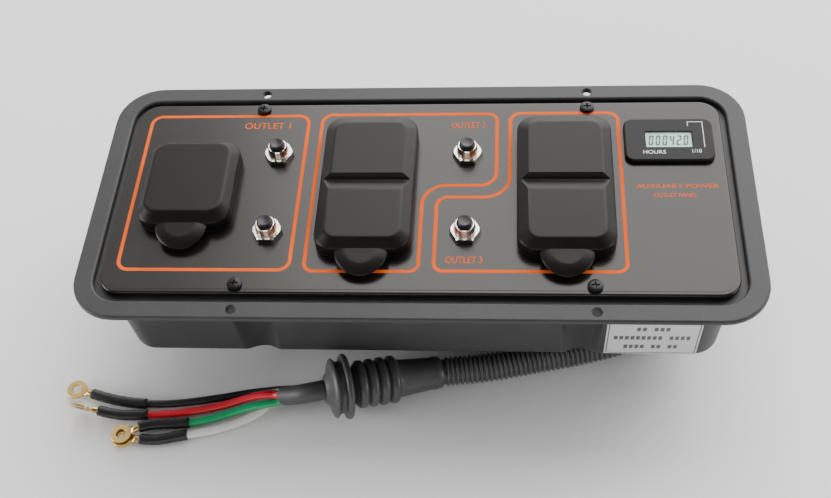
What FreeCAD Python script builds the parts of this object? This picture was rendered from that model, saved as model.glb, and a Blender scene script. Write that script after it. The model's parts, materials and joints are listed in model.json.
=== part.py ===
import FreeCAD, Part
import math
import os
import Sketcher

# Recessed power outlet panel: a moulded tub with a face panel, three flip covers over
# receptacles, four push-to-reset breakers, an hour meter and a wiring harness.
# Frame: origin under the flange's centre on the surface the tub stands on,
# +X along the long side, +Y towards the cover hinges, +Z up. Millimetres.

SIZES = {
    # tub and flange
    "flange_length": 360, "flange_width": 160, "flange_corner": 25,
    "flange_thick": 3.2, "flange_top": 86, "flange_edge": 1.2,
    "mount_hole": 5, "mount_spacing_x": 186, "mount_spacing_y": 149,
    "recess_length": 338.6, "recess_width": 138.6, "recess_corner": 14.5,
    "shoulder_length": 345, "shoulder_width": 143.4, "shoulder_thick": 3,
    "shoulder_corner": 17,
    "ledge_length": 314, "ledge_width": 116, "ledge_corner": 9,
    "tub_length": 328, "tub_width": 135, "tub_corner": 16, "tub_draft": 2.6,
    "tub_floor": 26.5, "wall": 3,
    "deep_left": -153, "deep_right": 158, "deep_front": -28, "deep_back": 60,
    "notch_left": 104, "notch_back": 23, "deep_corner": 6, "deep_overlap": 40,
    "channel_x": 87, "channel_y": 71.8, "channel_radius": 10.9, "channel_lean": 3.4,
    "channel_top": 64, "channel_wall": 2.6,
    "boss_radius": 4.6, "boss_height": 12, "insert_radius": 2.8, "insert_height": 8,
    "tip_depth": 3, "tip_gap": 0.35,
    # face panel
    "panel_length": 330.8, "panel_width": 130.8, "panel_corner": 11,
    "panel_thick": 3, "panel_edge": 1.2, "gasket_thick": 1.5,
    "screw_spacing_x": 185, "screw_spacing_y": 121, "screw_radius": 1.75,
    "screw_head_radius": 4, "screw_head_height": 2.2, "screw_length": 13,
    "cross_length": 4.4, "cross_width": 0.9, "cross_depth": 1.1,
    # covers
    "cover_base": 3, "cover_gap": 0.3, "cover_straight": 8.1, "cover_bevel": 3.7,
    "cover_wall": 2.2, "cover_roof": 1.8, "cover_corner": 10, "cover_width": 51.2,
    "cover_back": 48, "long_cover_front": -43.2, "short_cover_back": 30.5,
    "short_cover_front": -26.8,
    "axis_height": 5.2, "axis_inset": 2.5, "barrel_radius": 2.2, "barrel_half": 12,
    "base_step": 6.2, "base_step_height": 1.3, "knuckle_gap": 0.3,
    "relief_depth": 3.7, "relief_height": 1.8, "notch_depth": 5.3, "notch_height": 4.9,
    "notch_gap": 0.45, "pocket_depth": 4.1, "pocket_step": 3, "pocket_corner": 4.5,
    "plateau_side": 8.5, "plateau_end": 9.5, "plateau_shift": 2, "plateau_corner": 4,
    "knuckle_length": 7, "pin_radius": 1.0, "pin_clearance": 0.05,
    "window_width": 37, "window_rise": 0.9, "window_edge": 4, "window_front_length": 31.8,
    "window_gap": 10.6, "window_rear_length": 36.3, "window_sink": 0.4, "window_corner": 3,
    "tab_radius": 14, "tab_thick": 2.4, "tab_step": 0.4, "tab_root": 2,
    "cover1_x": -125.2, "cover2_x": -27.3, "cover3_x": 78.8,
    # receptacles
    "face_width": 33.4, "face_length": 67, "face_corner": 3, "face_proud": 1.4,
    "box_width": 42, "box_length": 70, "box_depth": 26, "strap_length": 106,
    "strap_width": 24, "strap_thick": 1.2, "strap_screws": 77.2,
    "strap_screw_length": 7.5, "strap_head_radius": 3.1, "strap_head_height": 1.6,
    "strap_seat_radius": 3.4, "strap_seat": 1, "strap_corner": 5, "box_corner": 3,
    "slot_width": 2.4, "long_slot": 8.4, "short_slot": 7.2, "slot_offset": 6.35,
    "slot_depth": 9, "earth_radius": 2.7, "earth_offset": 9.4, "outlet_pitch": 38,
    "outlet_shift": 3, "key_length": 20.6, "key_width": 11.4, "key_corner": 1.5,
    "key_depth": 5, "button_length": 9.4, "button_width": 10.4, "button_thick": 4.4,
    "button_corner": 0.8, "button_offset": 5, "button_proud": 1.4,
    "side_screw_radius": 3.6, "side_screw_height": 2, "side_screw_y": 18,
    "side_screw_depth": 14,
    "lock_radius": 22, "lock_body_radius": 24.5, "lock_depth": 36, "lock_strap": 62,
    "lock_strap_width": 52, "lock_strap_corner": 8, "lock_screw_offset": 19.24,
    "lock_slot_depth": 8, "lock_slot_length": 9.6, "lock_slot_width": 2.3,
    "lock_slot_circle": 12.4, "lock_key_width": 4.2, "lock_key_x": 9.9, "lock_key_y": 13.6,
    "clamp_circle": 16, "clamp_radius": 3.4, "clamp_height": 3,
    # breakers
    "breaker1_x": -79.5, "breaker2_x": 26, "breaker_y": 26.7,
    "bushing_radius": 5.6, "bushing_rise": 8.4, "nut_flats": 14.3, "nut_height": 3.2,
    "breaker_length": 32, "breaker_width": 15, "breaker_depth": 27,
    "breaker_corner": 1.5, "button_radius": 4.1, "button_rise": 2.6, "button_fit": 0.06,
    "button_depth": 5.6, "button_edge": 0.7, "button_bore_depth": 6,
    "blade_width": 6.3, "blade_thick": 0.8, "blade_length": 8, "blade_offset": 9,
    # hour meter
    "meter_x": 135.9, "meter_y": 35, "bezel_length": 48.2, "bezel_width": 30.2,
    "bezel_corner": 5, "bezel_height": 3, "meter_length": 36.4, "meter_width": 23.8,
    "meter_depth": 19, "display_length": 25, "display_width": 11, "display_sink": 1.6,
    "display_corner": 0.8, "display_gap": 0.1, "display_thick": 0.5, "glass_thick": 0.8,
    "glass_corner": 0.6, "meter_corner": 1.5, "bezel_edge": 1.1, "meter_blade_length": 7,
    "meter_blade_x": 8, "clip_rim": 2.5, "clip_height": 5, "clip_corner": 2,
    # harness
    "gland_x": 143, "gland_axis": 13.2, "gland_radius": 12, "gland_length": 22,
    "gland_bore": 6.3, "gland_thread": 7.8, "gland_inside": 12,
    "conduit_diameter": 16.2, "jacket_diameter": 11, "wire_diameter": 4.4,
    "sleeve_diameter": 6.2, "bellows_radius": 13.3, "grommet_radius": 18.3,
    "ring_radius": 5.8, "ring_hole": 2.6, "ring_thick": 1.1,
    "locknut_rim": 1.4, "locknut_height": 4, "tongue_reach": 2.4, "tongue_width": 5.6,
    "barrel_start": 1.8, "crimp_radius": 2.3, "crimp_length": 2.4,
    # gaps round parts in their holes, overrun of cutting tools, lap of joined solids
    "hole_gap": 0.4, "strap_gap": 0.1, "base_gap": 0.2, "gasket_gap": 0.6,
    "thread_gap": 0.1, "bushing_gap": 0.15, "meter_gap": 0.3, "over": 1, "lap": 0.5,
}

doc = FreeCAD.newDocument("outlet_panel")
sheet = doc.addObject("Spreadsheet::Sheet", "Sizes")
for row, (alias, number) in enumerate(SIZES.items(), start=1):
    sheet.set(f"A{row}", alias)
    sheet.set(f"B{row}", str(number))
    sheet.setAlias(f"B{row}", alias)
doc.recompute()

nodes = {}


def sized(text):
    """The sheet's own names inside a formula: every known alias gets its prefix."""
    words = []
    word = ""
    for char in text + " ":
        if char.isalnum() or char == "_":
            word += char
            continue
        words.append(f"Sizes.{word}" if word in SIZES else word)
        words.append(char)
        word = ""
    return "".join(words).strip()


def value(text):
    return float(sheet.evalExpression(sized(text)))


def keep(label, shape_object):
    """Names a finished sub-part and lists it for export."""
    shape_object.Label = label
    nodes[label] = shape_object
    return shape_object


def put(item, x="0", y="0", z="0"):
    for axis, text in zip("xyz", (x, y, z)):
        item.setExpression(f"Placement.Base.{axis}", sized(text))
    return item


# ---------------------------------------------------------------- building blocks
def new_body(name):
    return doc.addObject("PartDesign::Body", name)


def plane_of(body, role):
    return [item for item in body.Origin.OriginFeatures if item.Role == role][0]


def rounded_sketch(body, length, width, corner, x="0", y="0", z="0"):
    """A rounded rectangle centred on x, y at height z, fully constrained."""
    sketch = body.newObject("Sketcher::SketchObject", "outline")
    sketch.AttachmentSupport = [(plane_of(body, "XY_Plane"), "")]
    sketch.MapMode = "FlatFace"
    for axis, text in zip("xyz", (x, y, z)):
        sketch.setExpression(f".AttachmentOffset.Base.{axis}", sized(text))
    a, b, r = value(length) / 2, value(width) / 2, value(corner)
    corners = [(1, 1), (-1, 1), (-1, -1), (1, -1)]
    vector = FreeCAD.Vector
    ends = []
    for turn, (sx, sy) in enumerate(corners):
        centre = vector(sx * (a - r), sy * (b - r), 0)
        circle = Part.Circle(centre, vector(0, 0, 1), r)
        start = turn * math.pi / 2
        sketch.addGeometry(Part.ArcOfCircle(circle, start, start + math.pi / 2), False)
        ends.append((centre + vector(math.cos(start), math.sin(start), 0) * r,
                     centre + vector(-math.sin(start), math.cos(start), 0) * r))
    for turn in range(4):
        line = Part.LineSegment(ends[turn][1], ends[(turn + 1) % 4][0])
        sketch.addGeometry(line, False)
    rules = []
    for turn in range(4):
        rules.append(Sketcher.Constraint("Tangent", turn, 2, 4 + turn, 1))
        rules.append(Sketcher.Constraint("Tangent", 4 + turn, 2, (turn + 1) % 4, 1))
    for turn in (0, 2):
        rules.append(Sketcher.Constraint("Horizontal", 4 + turn))
        rules.append(Sketcher.Constraint("Vertical", 5 + turn))
    for turn in (1, 2, 3):
        rules.append(Sketcher.Constraint("Equal", 0, turn))
    sketch.addConstraint(rules)
    measures = [("corner", Sketcher.Constraint("Radius", 0, r), corner),
                ("half_length", Sketcher.Constraint("DistanceX", -1, 1, 0, 1, a), f"({length})/2"),
                ("half_width", Sketcher.Constraint("DistanceY", -1, 1, 0, 2, b), f"({width})/2"),
                ("span", Sketcher.Constraint("DistanceX", 1, 2, 0, 1, 2 * a), length),
                ("depth", Sketcher.Constraint("DistanceY", 2, 2, 0, 2, 2 * b), width)]
    for name, rule, text in measures:
        index = sketch.addConstraint(rule)
        sketch.renameConstraint(index, name)
        sketch.setExpression(f"Constraints.{name}", sized(text))
    return sketch


def pad(body, sketch, height, down=False, draft=None):
    feature = body.newObject("PartDesign::Pad", "pad")
    feature.Profile = sketch
    feature.Reversed = down
    feature.setExpression("Length", sized(height))
    if draft is not None:
        feature.setExpression("TaperAngle", sized(draft))
    return feature


def pocket(body, sketch, depth, up=False, draft=None):
    feature = body.newObject("PartDesign::Pocket", "pocket")
    feature.Profile = sketch
    feature.Reversed = up
    feature.setExpression("Length", sized(depth))
    if draft is not None:
        feature.setExpression("TaperAngle", sized(draft))
    return feature


def block(name, length, width, height, corner, x="0", y="0", z="0"):
    """A rounded rectangular block standing on height z, centred on x, y."""
    body = new_body(name)
    pad(body, rounded_sketch(body, length, width, corner, x, y, z), height)
    return body


def box(name, length, width, height, x="0", y="0", z="0"):
    """A plain box centred on x, y and standing on height z."""
    item = doc.addObject("Part::Box", name)
    for side, text in (("Length", length), ("Width", width), ("Height", height)):
        item.setExpression(side, sized(text))
    return put(item, f"{x} - ({length})/2", f"{y} - ({width})/2", z)


def cylinder(name, radius, height, x="0", y="0", z="0", axis="z"):
    """A cylinder along z, or one that starts at x, y, z and runs along +x or +y."""
    item = doc.addObject("Part::Cylinder", name)
    item.setExpression("Radius", sized(radius))
    item.setExpression("Height", sized(height))
    turns = {"x": FreeCAD.Rotation(FreeCAD.Vector(0, 1, 0), 90),
             "y": FreeCAD.Rotation(FreeCAD.Vector(1, 0, 0), -90)}
    if axis in turns:
        item.Placement = FreeCAD.Placement(FreeCAD.Vector(), turns[axis])
    return put(item, x, y, z)


def fuse(name, items):
    result = doc.addObject("Part::MultiFuse", name)
    result.Shapes = list(items)
    return result


def cut(name, base, tools):
    result = doc.addObject("Part::Cut", name)
    result.Base = base
    result.Tool = tools[0] if len(tools) == 1 else fuse(name + "_tools", tools)
    return result


def group(name, items):
    """Identical fasteners: separate solids held in one sub-part."""
    result = doc.addObject("Part::Compound", name)
    result.Links = list(items)
    return result


def rounded_edges(name, base, chosen, radius):
    """Rounds the edges of base that the test picks."""
    doc.recompute()
    result = doc.addObject("Part::Fillet", name)
    result.Base = base
    size = value(radius)
    result.Edges = [(index, size, size) for index, edge in enumerate(base.Shape.Edges, start=1)
                    if chosen(edge)]
    return result


def level_edge(height, reach=None):
    """Picks edges that lie at one height and, if asked, at least so far from the middle."""
    def chosen(edge):
        limits = edge.BoundBox
        flat = abs(limits.ZMin - height) < 0.01 and abs(limits.ZMax - height) < 0.01
        far = reach is None or max(abs(limits.XMin), abs(limits.XMax)) > reach[0] \
            or max(abs(limits.YMin), abs(limits.YMax)) > reach[1]
        return flat and far
    return chosen


def mirrored_places(x, y):
    return [(sx + x, sy + y) for sx in ("", "-") for sy in ("", "-")]


# ---------------------------------------------------------------- tub
def deep_blocks(body, inset, top, depth):
    """The two overlapping blocks of the deep part of the tub, inset by a wall."""
    spans = [("deep_left", "notch_left", "deep_front", "deep_back"),
             ("notch_left - deep_overlap", "deep_right", "notch_back", "deep_back")]
    for left, right, front, back in spans:
        length = f"({right}) - ({left}) - 2*({inset})"
        width = f"({back}) - ({front}) - 2*({inset})"
        middle_x = f"(({right}) + ({left}))/2"
        middle_y = f"(({back}) + ({front}))/2"
        sketch = rounded_sketch(body, length, width, f"deep_corner - ({inset})",
                                middle_x, middle_y, top)
        pad(body, sketch, depth, down=True)


def tub_outside():
    body = new_body("tub_outside")
    under = "flange_top - flange_thick"
    shoulder = f"{under} - shoulder_thick"
    flange = rounded_sketch(body, "flange_length", "flange_width", "flange_corner", z=under)
    pad(body, flange, "flange_thick")
    step = rounded_sketch(body, "shoulder_length", "shoulder_width", "shoulder_corner",
                          z=shoulder)
    pad(body, step, "shoulder_thick")
    walls = rounded_sketch(body, "tub_length", "tub_width", "tub_corner", z=shoulder)
    pad(body, walls, f"{shoulder} - tub_floor", down=True, draft="-tub_draft")
    deep_blocks(body, "0", "tub_floor + wall", "tub_floor + wall")
    return body


def tub_inside():
    body = new_body("tub_inside")
    under = "flange_top - flange_thick"
    shoulder = f"{under} - shoulder_thick"
    mouth = rounded_sketch(body, "recess_length", "recess_width", "recess_corner", z=under)
    pad(body, mouth, "flange_thick + over")
    ledge = rounded_sketch(body, "ledge_length", "ledge_width", "ledge_corner", z=shoulder)
    pad(body, ledge, "shoulder_thick + lap")
    room = rounded_sketch(body, "tub_length - 2*wall", "tub_width - 2*wall",
                          "tub_corner - wall", z=shoulder)
    pad(body, room, f"{shoulder} - tub_floor - wall", down=True, draft="-tub_draft")
    deep_blocks(body, "wall", "tub_floor + wall + lap", "tub_floor + lap")
    return body


def channels(name, extra, top):
    """Four leaning round channels that clear the mounting screws."""
    items = []
    for sx in (1, -1):
        for sy in (1, -1):
            item = doc.addObject("Part::Cylinder", name)
            item.setExpression("Radius", sized(f"channel_radius + {extra}"))
            item.setExpression("Height", sized(f"{top} - tub_floor + 2*over"))
            lean = sy * value("channel_lean")
            turn = FreeCAD.Rotation(FreeCAD.Vector(1, 0, 0), lean)
            item.Placement = FreeCAD.Placement(FreeCAD.Vector(), turn)
            put(item, f"{sx}*channel_x", f"{sy}*channel_y", "tub_floor - 2*over")
            items.append(item)
    return fuse(name + "_set", items)


def make_housing():
    outside = tub_outside()
    shell = cut("tub_shell", outside, [tub_inside()])
    lining = doc.addObject("Part::Common", "channel_lining")
    lining.Base = outside
    lining.Tool = channels("channel_outer", "channel_wall", "channel_top + channel_wall")
    bosses = []
    places = mirrored_places("screw_spacing_x/2", "screw_spacing_y/2")
    for x, y in places:
        bosses.append(cylinder("screw_boss", "boss_radius", "boss_height + shoulder_thick", x, y,
                               "flange_top - flange_thick - shoulder_thick - boss_height"))
    solid = fuse("tub_solid", [shell, lining] + bosses)
    tools = [channels("channel_inner", "0", "channel_top")]
    for x, y in places:
        tools.append(cylinder("insert_hole", "insert_radius", "insert_height + over", x, y,
                              "flange_top - flange_thick - insert_height"))
        tools.append(cylinder("tip_hole", "screw_radius + tip_gap", "insert_height + tip_depth",
                              x, y, "flange_top - flange_thick - insert_height - tip_depth"))
    tools.append(cylinder("gland_hole", "gland_thread + thread_gap", "wall + 2*over",
                          "gland_x", "notch_back - over", "gland_axis", axis="y"))
    opened = cut("tub_opened", solid, tools)
    top = value("flange_top")
    reach = (value("recess_length") / 2 + 1, value("recess_width") / 2 + 1)
    rounded = rounded_edges("tub_rounded", opened, level_edge(top, reach), "flange_edge")
    holes = [cylinder("mount_hole", "mount_hole/2", "flange_thick + 2*over", x, y,
                      "flange_top - flange_thick - over")
             for x, y in mirrored_places("mount_spacing_x/2", "mount_spacing_y/2")]
    keep("housing", cut("tub_drilled", rounded, holes))


# ---------------------------------------------------------------- face panel and gasket
PANEL_TOP = "flange_top - flange_thick + gasket_thick + panel_thick"
PANEL_UNDER = "flange_top - flange_thick + gasket_thick"


def cover_span(index):
    """Centre x, centre y, width, length, front and back of one flip cover."""
    if index == 1:
        front, back = "short_cover_front", "short_cover_back"
    else:
        front, back = "long_cover_front", "cover_back"
    return (f"cover{index}_x", f"({front} + {back})/2", "cover_width", f"({back} - {front})",
            front, back)


def panel_screw_holes(radius, z, height):
    return [cylinder("screw_hole", radius, height, x, y, z)
            for x, y in mirrored_places("screw_spacing_x/2", "screw_spacing_y/2")]


def make_panel():
    plate = block("panel_plate", "panel_length", "panel_width", "panel_thick", "panel_corner",
                  z=PANEL_UNDER)
    low = f"{PANEL_UNDER} - over"
    deep = "panel_thick + 2*over"
    tools = panel_screw_holes("screw_radius + hole_gap", low, deep)
    lock_x, lock_y = cover_span(1)[:2]
    tools.append(cylinder("lock_hole", "lock_radius + hole_gap", deep, lock_x, lock_y, low))
    for index in (2, 3):
        x, y = cover_span(index)[:2]
        tools.append(block("face_hole", "face_width + 2*hole_gap", "face_length + 2*hole_gap", deep,
                           "face_corner + hole_gap", x, y, low))
    for x in ("breaker1_x", "breaker2_x"):
        for y in ("breaker_y", "-breaker_y"):
            tools.append(cylinder("breaker_hole", "bushing_radius + bushing_gap", deep, x, y, low))
    tools.append(block("meter_hole", "meter_length + 2*meter_gap",
                       "meter_width + 2*meter_gap", deep, "clip_corner", "meter_x",
                       "meter_y", low))
    for index in (1, 2, 3):
        tools += strap_screw_holes(index, "screw_radius + strap_gap", low, deep)
    holed = cut("panel_holed", plate, tools)
    top = value(PANEL_TOP)
    reach = (value("panel_length") / 2 - 1, value("panel_width") / 2 - 1)
    edged = rounded_edges("panel_edged", holed, level_edge(top, reach), "panel_edge")
    keep("face_panel", edged)


def strap_screw_places(index):
    x, y = cover_span(index)[:2]
    if index == 1:
        return [(f"{x} {sign} lock_screw_offset", f"{y} {sign} lock_screw_offset")
                for sign in "+-"]
    return [(x, f"{y} {sign} strap_screws/2") for sign in "+-"]


def strap_screw_holes(index, radius, z, height):
    return [cylinder("strap_hole", radius, height, x, y, z)
            for x, y in strap_screw_places(index)]


def make_gasket():
    ring = block("gasket_ring", "panel_length - 2*hole_gap", "panel_width - 2*hole_gap",
                 "gasket_thick", "panel_corner", z="flange_top - flange_thick")
    mouth = block("gasket_mouth", "ledge_length", "ledge_width", "gasket_thick + 2*over",
                  "ledge_corner", z="flange_top - flange_thick - over")
    tools = [mouth] + panel_screw_holes("screw_radius + gasket_gap",
                                        "flange_top - flange_thick - over",
                                        "gasket_thick + 2*over")
    keep("panel_gasket", cut("gasket_cut", ring, tools))


def screw(name, x, y, under_head, length, radius="screw_radius",
          head="screw_head_radius", head_height="screw_head_height"):
    """A cross-recess pan head screw whose head sits on under_head."""
    shank = cylinder(name + "_shank", radius, f"{length} + lap", x, y,
                     f"{under_head} - {length}")
    top = cylinder(name + "_head", head, head_height, x, y, under_head)
    solid = fuse(name + "_solid", [shank, top])
    crown = f"{under_head} + {head_height}"
    slots = [box(name + "_slot", long, wide, "cross_depth + over", x, y,
                 f"{crown} - cross_depth")
             for long, wide in (("cross_length", "cross_width"), ("cross_width", "cross_length"))]
    return cut(name, solid, slots)


def make_panel_fasteners():
    screws, inserts = [], []
    ledge = "flange_top - flange_thick"
    for x, y in mirrored_places("screw_spacing_x/2", "screw_spacing_y/2"):
        screws.append(screw("panel_screw", x, y, PANEL_TOP, "screw_length"))
        sleeve = cylinder("insert", "insert_radius", "insert_height", x, y,
                          f"{ledge} - insert_height")
        bore = cylinder("insert_bore", "screw_radius", "insert_height + 2*over", x, y,
                        f"{ledge} - insert_height - over")
        inserts.append(cut("insert_cut", sleeve, [bore]))
    keep("panel_screws", group("panel_screw_group", screws))
    keep("threaded_inserts", group("insert_group", inserts))


# ---------------------------------------------------------------- flip covers
def hinge_line(index):
    x, _, _, _, _, back = cover_span(index)
    return x, f"{back} - axis_inset", f"{PANEL_TOP} + axis_height"


def make_cover_base(index):
    x, y, width, length, _, back = cover_span(index)
    ring = block(f"base_ring_{index}", width, length, "cover_base", "cover_corner", x, y,
                 PANEL_TOP)
    low = f"{PANEL_TOP} - over"
    tools = [box("base_step", f"{width} + 2*over", "base_step + 2*over", "cover_base", x,
                 f"{back} - base_step/2 + over", f"{PANEL_TOP} + base_step_height")]
    if index == 1:
        tools.append(cylinder("base_mouth", "lock_radius + hole_gap", "cover_base + 2*over",
                              x, y, low))
    else:
        tools.append(block("base_mouth", "face_width + 2*hole_gap", "face_length + 2*hole_gap",
                           "cover_base + 2*over", "face_corner + hole_gap", x, y, low))
    for hole_x, hole_y in strap_screw_places(index):
        tools.append(cylinder("base_hole", "screw_radius + base_gap", "cover_base + 2*over",
                              hole_x, hole_y, low))
        tools.append(cylinder("base_seat", "strap_seat_radius", "cover_base", hole_x, hole_y,
                              f"{PANEL_TOP} + strap_seat"))
    base = cut(f"base_open_{index}", ring, tools)
    _, axis_y, axis_z = hinge_line(index)
    knuckles = [base]
    for side in (1, -1):
        start = "barrel_half + knuckle_gap" if side > 0 \
            else "-barrel_half - knuckle_gap - knuckle_length"
        knuckles.append(cylinder("base_knuckle", "barrel_radius", "knuckle_length",
                                 f"{x} + {start}", axis_y, axis_z, axis="x"))
        knuckles.append(box("base_post", "knuckle_length", "2*barrel_radius", "axis_height",
                            f"{x} + {side}*(barrel_half + knuckle_gap + knuckle_length/2)", axis_y,
                            PANEL_TOP))
    solid = fuse(f"base_solid_{index}", knuckles)
    bore = cylinder("base_bore", "pin_radius", "2*(barrel_half + knuckle_length + 2*over)",
                    f"{x} - barrel_half - knuckle_length - 2*over", axis_y, axis_z, axis="x")
    keep(f"cover_base_{index}", cut(f"base_bored_{index}", solid, [bore]))


def lid_shell(index):
    """Straight skirt, bevelled shoulders, raised windows and a hollow underneath."""
    x, y, width, length, front, _ = cover_span(index)
    body = new_body(f"lid_shell_{index}")
    skirt_low = f"{PANEL_TOP} + cover_base + cover_gap"
    skirt_top = f"{PANEL_TOP} + cover_straight"
    pad(body, rounded_sketch(body, width, length, "cover_corner", x, y, skirt_low),
        "cover_straight - cover_base - cover_gap")
    pad(body, rounded_sketch(body, width, length, "cover_corner", x, y, skirt_top),
        "cover_bevel", draft="-45")
    crown = f"{skirt_top} + cover_bevel - window_sink"
    rise = "window_rise + window_sink"
    if index == 1:
        pad(body, rounded_sketch(body, f"{width} - 2*plateau_side",
                                 f"{length} - 2*plateau_end", "plateau_corner", x,
                                 f"{y} + plateau_shift", crown), rise)
    else:
        rear_from = f"{front} + window_edge + window_front_length + window_gap"
        for start, span in ((f"{front} + window_edge", "window_front_length"),
                            (rear_from, "window_rear_length")):
            pad(body, rounded_sketch(body, "window_width", span, "window_corner", x,
                                     f"{start} + {span}/2", crown), rise)
    inner_width, inner_length = f"{width} - 2*cover_wall", f"{length} - 2*cover_wall"
    pocket(body, rounded_sketch(body, inner_width, inner_length, "cover_corner - cover_wall",
                                x, y, skirt_low), "pocket_depth", up=True)
    pocket(body, rounded_sketch(body, f"{inner_width} - 2*pocket_step",
                                f"{inner_length} - 2*pocket_step", "pocket_corner", x, y,
                                skirt_low),
           "cover_straight + cover_bevel - cover_base - cover_gap - cover_roof", up=True)
    return body


def make_cover_lid(index):
    x, _, width, _, front, back = cover_span(index)
    _, axis_y, axis_z = hinge_line(index)
    low = f"{PANEL_TOP} + cover_base + cover_gap"
    relief = box("lid_relief", f"{width} + 2*over", "relief_depth + 2*over",
                 "relief_height + over", x, f"{back} - relief_depth/2 + over", f"{low} - over")
    notches = [box("lid_notch", "knuckle_length + 2*notch_gap", "notch_depth + 2*over",
                   "notch_height + over",
                   f"{x} + {side}*(barrel_half + knuckle_gap + knuckle_length/2)",
                   f"{back} - notch_depth/2 + over", f"{low} - over") for side in (1, -1)]
    shell = cut(f"lid_trimmed_{index}", lid_shell(index), [relief] + notches)
    barrel = cylinder("lid_barrel", "barrel_radius", "2*barrel_half", f"{x} - barrel_half",
                      axis_y, axis_z, axis="x")
    tab_low = f"{PANEL_TOP} + cover_straight - tab_thick + tab_step"
    tab = cylinder("lid_tab", "tab_radius", "tab_thick", x, front, tab_low)
    inner = box("tab_trim", "2*(tab_radius + over)", "2*tab_radius",
                "tab_thick + 2*over", x, f"{front} + tab_root + tab_radius",
                f"{tab_low} - over")
    tongue = cut(f"lid_tongue_{index}", tab, [inner])
    solid = fuse(f"lid_solid_{index}", [shell, barrel, tongue])
    bore = cylinder("lid_bore", "pin_radius + pin_clearance", "2*(barrel_half + over)",
                    f"{x} - barrel_half - over", axis_y, axis_z, axis="x")
    keep(f"cover_lid_{index}", cut(f"lid_bored_{index}", solid, [bore]))


def make_hinge_pin(index):
    x, axis_y, axis_z = hinge_line(index)
    reach = "(barrel_half + knuckle_length)"
    keep(f"hinge_pin_{index}", cylinder(f"pin_{index}", "pin_radius", f"2*{reach}",
                                        f"{x} - {reach}", axis_y, axis_z, axis="x"))


# ---------------------------------------------------------------- receptacles
FACE_TOP = f"{PANEL_TOP} + cover_base + face_proud"


def slot_set(x, y, z):
    """Two blade slots and a round earth hole of one outlet."""
    deep = "slot_depth + over"
    return [box("blade_slot", "slot_width", "long_slot", deep, f"{x} - slot_offset", y, z),
            box("blade_slot", "slot_width", "short_slot", deep, f"{x} + slot_offset", y, z),
            cylinder("earth_hole", "earth_radius", deep, x, f"{y} - earth_offset", z)]


def make_duplex(index):
    x, y = cover_span(index)[:2]
    under = PANEL_UNDER
    face_rise = f"{FACE_TOP} - ({under})"
    face = block(f"face_{index}", "face_width", "face_length", face_rise, "face_corner",
                 x, y, under)
    keys = block("key_hole", "key_length", "key_width", "key_depth + over", "key_corner", x, y,
                 f"{FACE_TOP} - key_depth")
    tools = [keys]
    for side in (1, -1):
        tools += slot_set(x, f"{y} + {side}*outlet_pitch/2 + outlet_shift",
                          f"{FACE_TOP} - slot_depth")
    keep(f"duplex_face_{index}", cut(f"face_cut_{index}", face, tools))
    strap = block(f"strap_{index}", "strap_width", "strap_length", "strap_thick",
                  "strap_corner", x, y, f"{under} - strap_thick")
    holes = strap_screw_holes(index, "screw_radius", f"{under} - strap_thick - over",
                              "strap_thick + 2*over")
    keep(f"duplex_strap_{index}", cut(f"strap_cut_{index}", strap, holes))
    body_top = f"{under} - strap_thick"
    keep(f"duplex_body_{index}",
         block(f"duplex_box_{index}", "box_width", "box_length", "box_depth", "box_corner", x, y,
               f"{body_top} - box_depth"))
    for word, side in (("test", 1), ("reset", -1)):
        cap = block(f"{word}_cap_{index}", "button_length", "button_width", "button_thick",
                    "button_corner", f"{x} + {side}*button_offset", y,
                    f"{FACE_TOP} - button_thick + button_proud")
        keep(f"{word}_button_{index}", cap)


def make_terminals():
    """Side terminal screws of both duplex bodies."""
    items = []
    for index in (2, 3):
        x, y = cover_span(index)[:2]
        for side in (1, -1):
            for sign in "+-":
                start = f"{x} + box_width/2" if side > 0 \
                    else f"{x} - box_width/2 - side_screw_height"
                items.append(cylinder("side_screw", "side_screw_radius", "side_screw_height",
                                      start, f"{y} {sign} side_screw_y",
                                      f"{PANEL_UNDER} - strap_thick - side_screw_depth",
                                      axis="x"))
    keep("duplex_terminals", group("terminal_group", items))


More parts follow.
